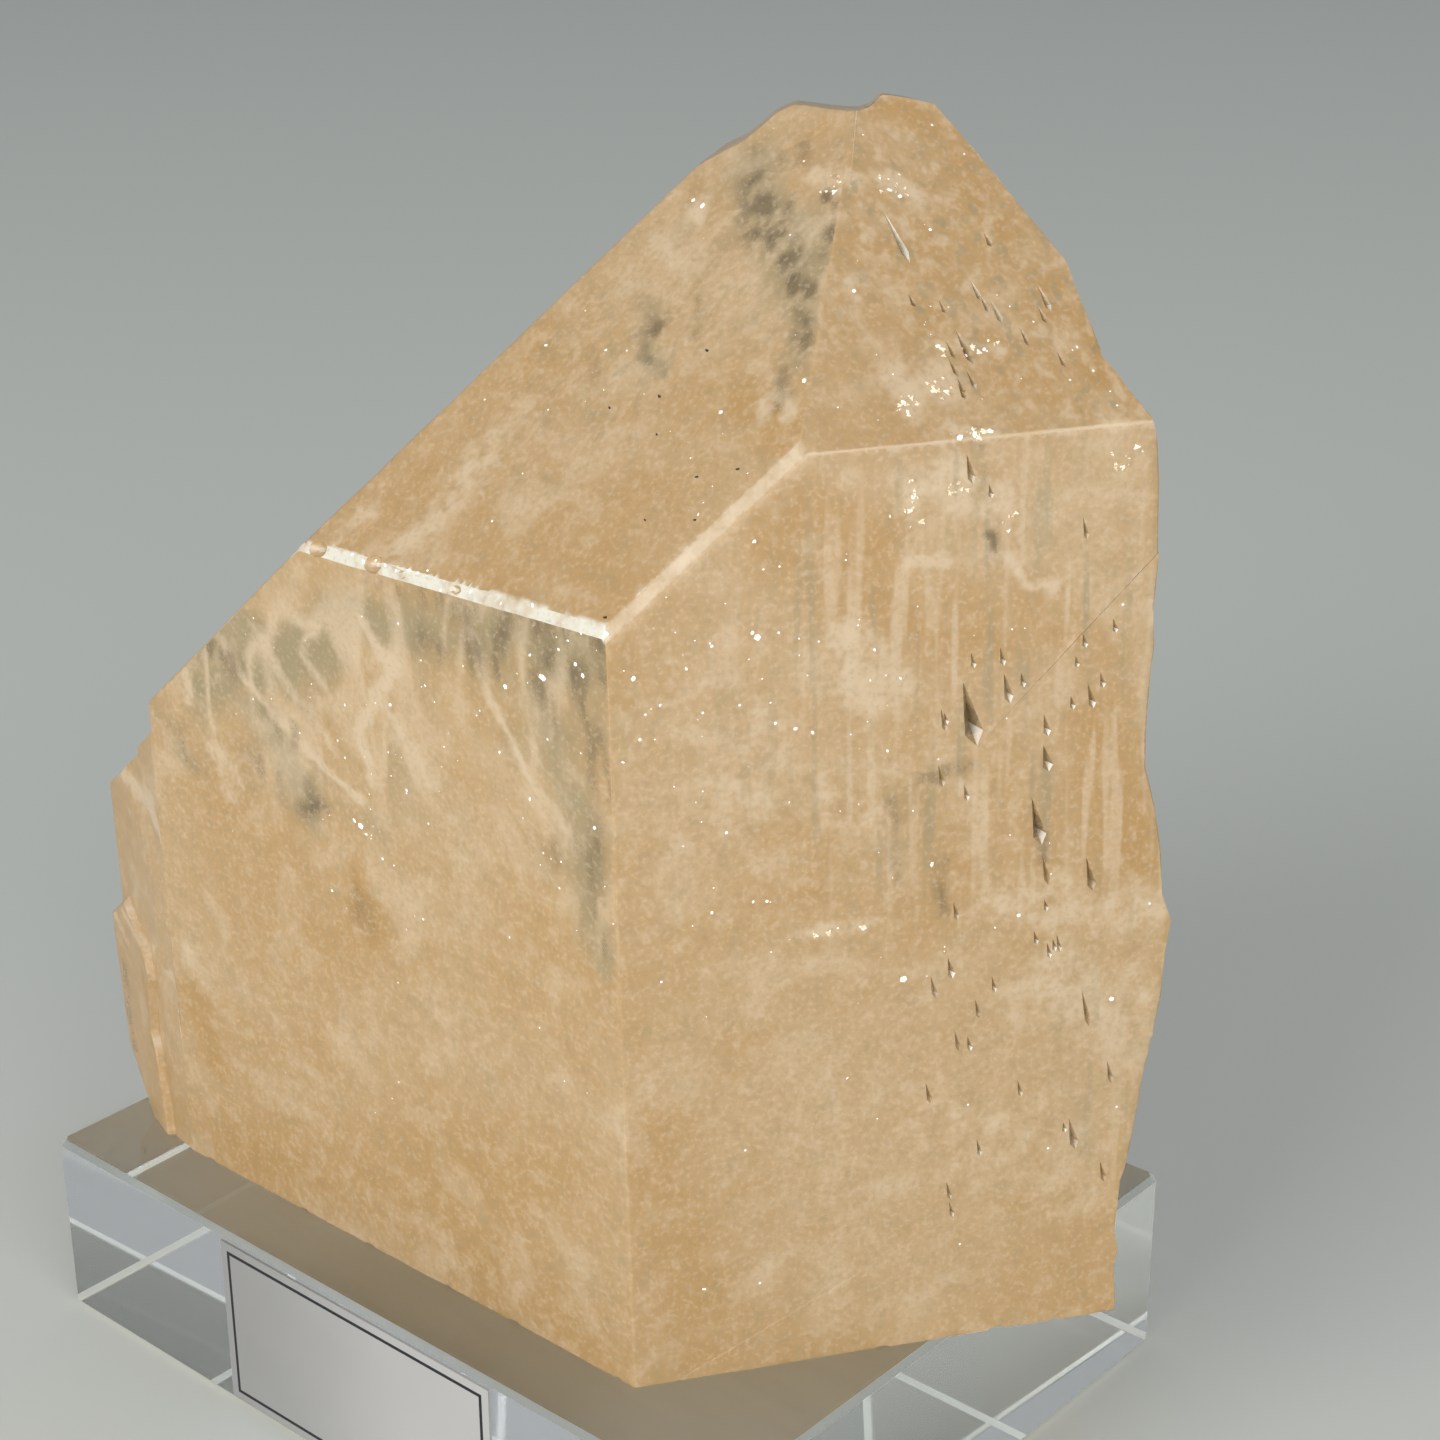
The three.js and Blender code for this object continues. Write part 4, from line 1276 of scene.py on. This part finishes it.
class TopazAddStage(bpy.types.Operator):
    """Lay the floor, hang the lamps and set the camera"""

    bl_idname = "topaz.add_stage"
    bl_label = "Stage"

    def execute(self, context):
        look = context.scene.topaz_stage
        deselect()
        bpy.ops.mesh.primitive_plane_add(
            size=look.floor_size, location=(0.0, 0.0, -look.floor_drop))
        floor = context.object
        floor.name = "floor"
        give(floor, floor_material(look))
        for name, (place, size) in LAMPS.items():
            softbox(name, place, size, getattr(look, name + "_power"))
        sky_light(context.scene, look.sky)
        set_camera(context.scene, look)
        context.scene.view_settings.view_transform = "Standard"
        return {"FINISHED"}


def softbox(name, place, size, watts):
    """A square lamp that faces the crystal."""
    aim = Vector(LAMP_AIM) - Vector(place)
    bpy.ops.object.light_add(type="AREA", location=place)
    lamp = bpy.context.object
    lamp.name = name
    lamp.rotation_euler = aim.to_track_quat("-Z", "Y").to_euler()
    lamp.data.name = name
    lamp.data.size = size
    lamp.data.energy = watts


def sky_light(scene, strength):
    """Even pale light from all round."""
    world = bpy.data.worlds.new("studio")
    world.use_nodes = True
    ground = world.node_tree.nodes["Background"]
    ground.inputs["Color"].default_value = (0.92, 0.96, 1.0, 1.0)
    ground.inputs["Strength"].default_value = strength
    scene.world = world


def set_camera(scene, look):
    """The camera at its place, turned by its own axes."""
    bpy.ops.object.camera_add(location=look.camera_place)
    camera = bpy.context.object
    camera.name = "camera"
    back = Vector(CAMERA_BACK).normalized()
    up = back.cross(Vector(CAMERA_RIGHT)).normalized()
    right = up.cross(back)
    camera.rotation_euler = Matrix((right, up, back)).transposed().to_euler()
    camera.data.sensor_width = 36.0
    camera.data.lens = look.camera_lens
    camera.data.clip_start = 0.01
    scene.camera = camera


class TopazPanel(bpy.types.Panel):
    """Steps that build the specimen"""

    bl_idname = "VIEW3D_PT_topaz"
    bl_label = "Topaz Crystal"
    bl_space_type = "VIEW_3D"
    bl_region_type = "UI"
    bl_category = "Topaz"

    def draw(self, context):
        column = self.layout.column()
        for step in STEPS:
            column.operator(step.bl_idname)
        for name in LOOKS:
            look = getattr(context.scene, name)
            box = column.box()
            for label in look.bl_rna.properties.keys():
                if label not in ("rna_type", "name"):
                    box.prop(look, label)


STEPS = (
    TopazAddCrystal, TopazAddFractures, TopazAddGlints, TopazAddSpecks,
    TopazDressBlock, TopazAddStage)
LOOKS = {
    "topaz_crystal": TopazCrystalLook,
    "topaz_marks": TopazMarkLook,
    "topaz_block": TopazBlockLook,
    "topaz_stage": TopazStageLook,
}


def register():
    for look in LOOKS.values():
        bpy.utils.register_class(look)
    for name, look in LOOKS.items():
        setattr(bpy.types.Scene, name, PointerProperty(type=look))
    for step in STEPS:
        bpy.utils.register_class(step)
    bpy.utils.register_class(TopazPanel)


def unregister():
    bpy.utils.unregister_class(TopazPanel)
    for step in reversed(STEPS):
        bpy.utils.unregister_class(step)
    for name in LOOKS:
        delattr(bpy.types.Scene, name)
    for look in LOOKS.values():
        bpy.utils.unregister_class(look)


def main():
    register()
    for step in STEPS:
        area, name = step.bl_idname.split(".")
        getattr(getattr(bpy.ops, area), name)()


if __name__ == "__main__":
    main()
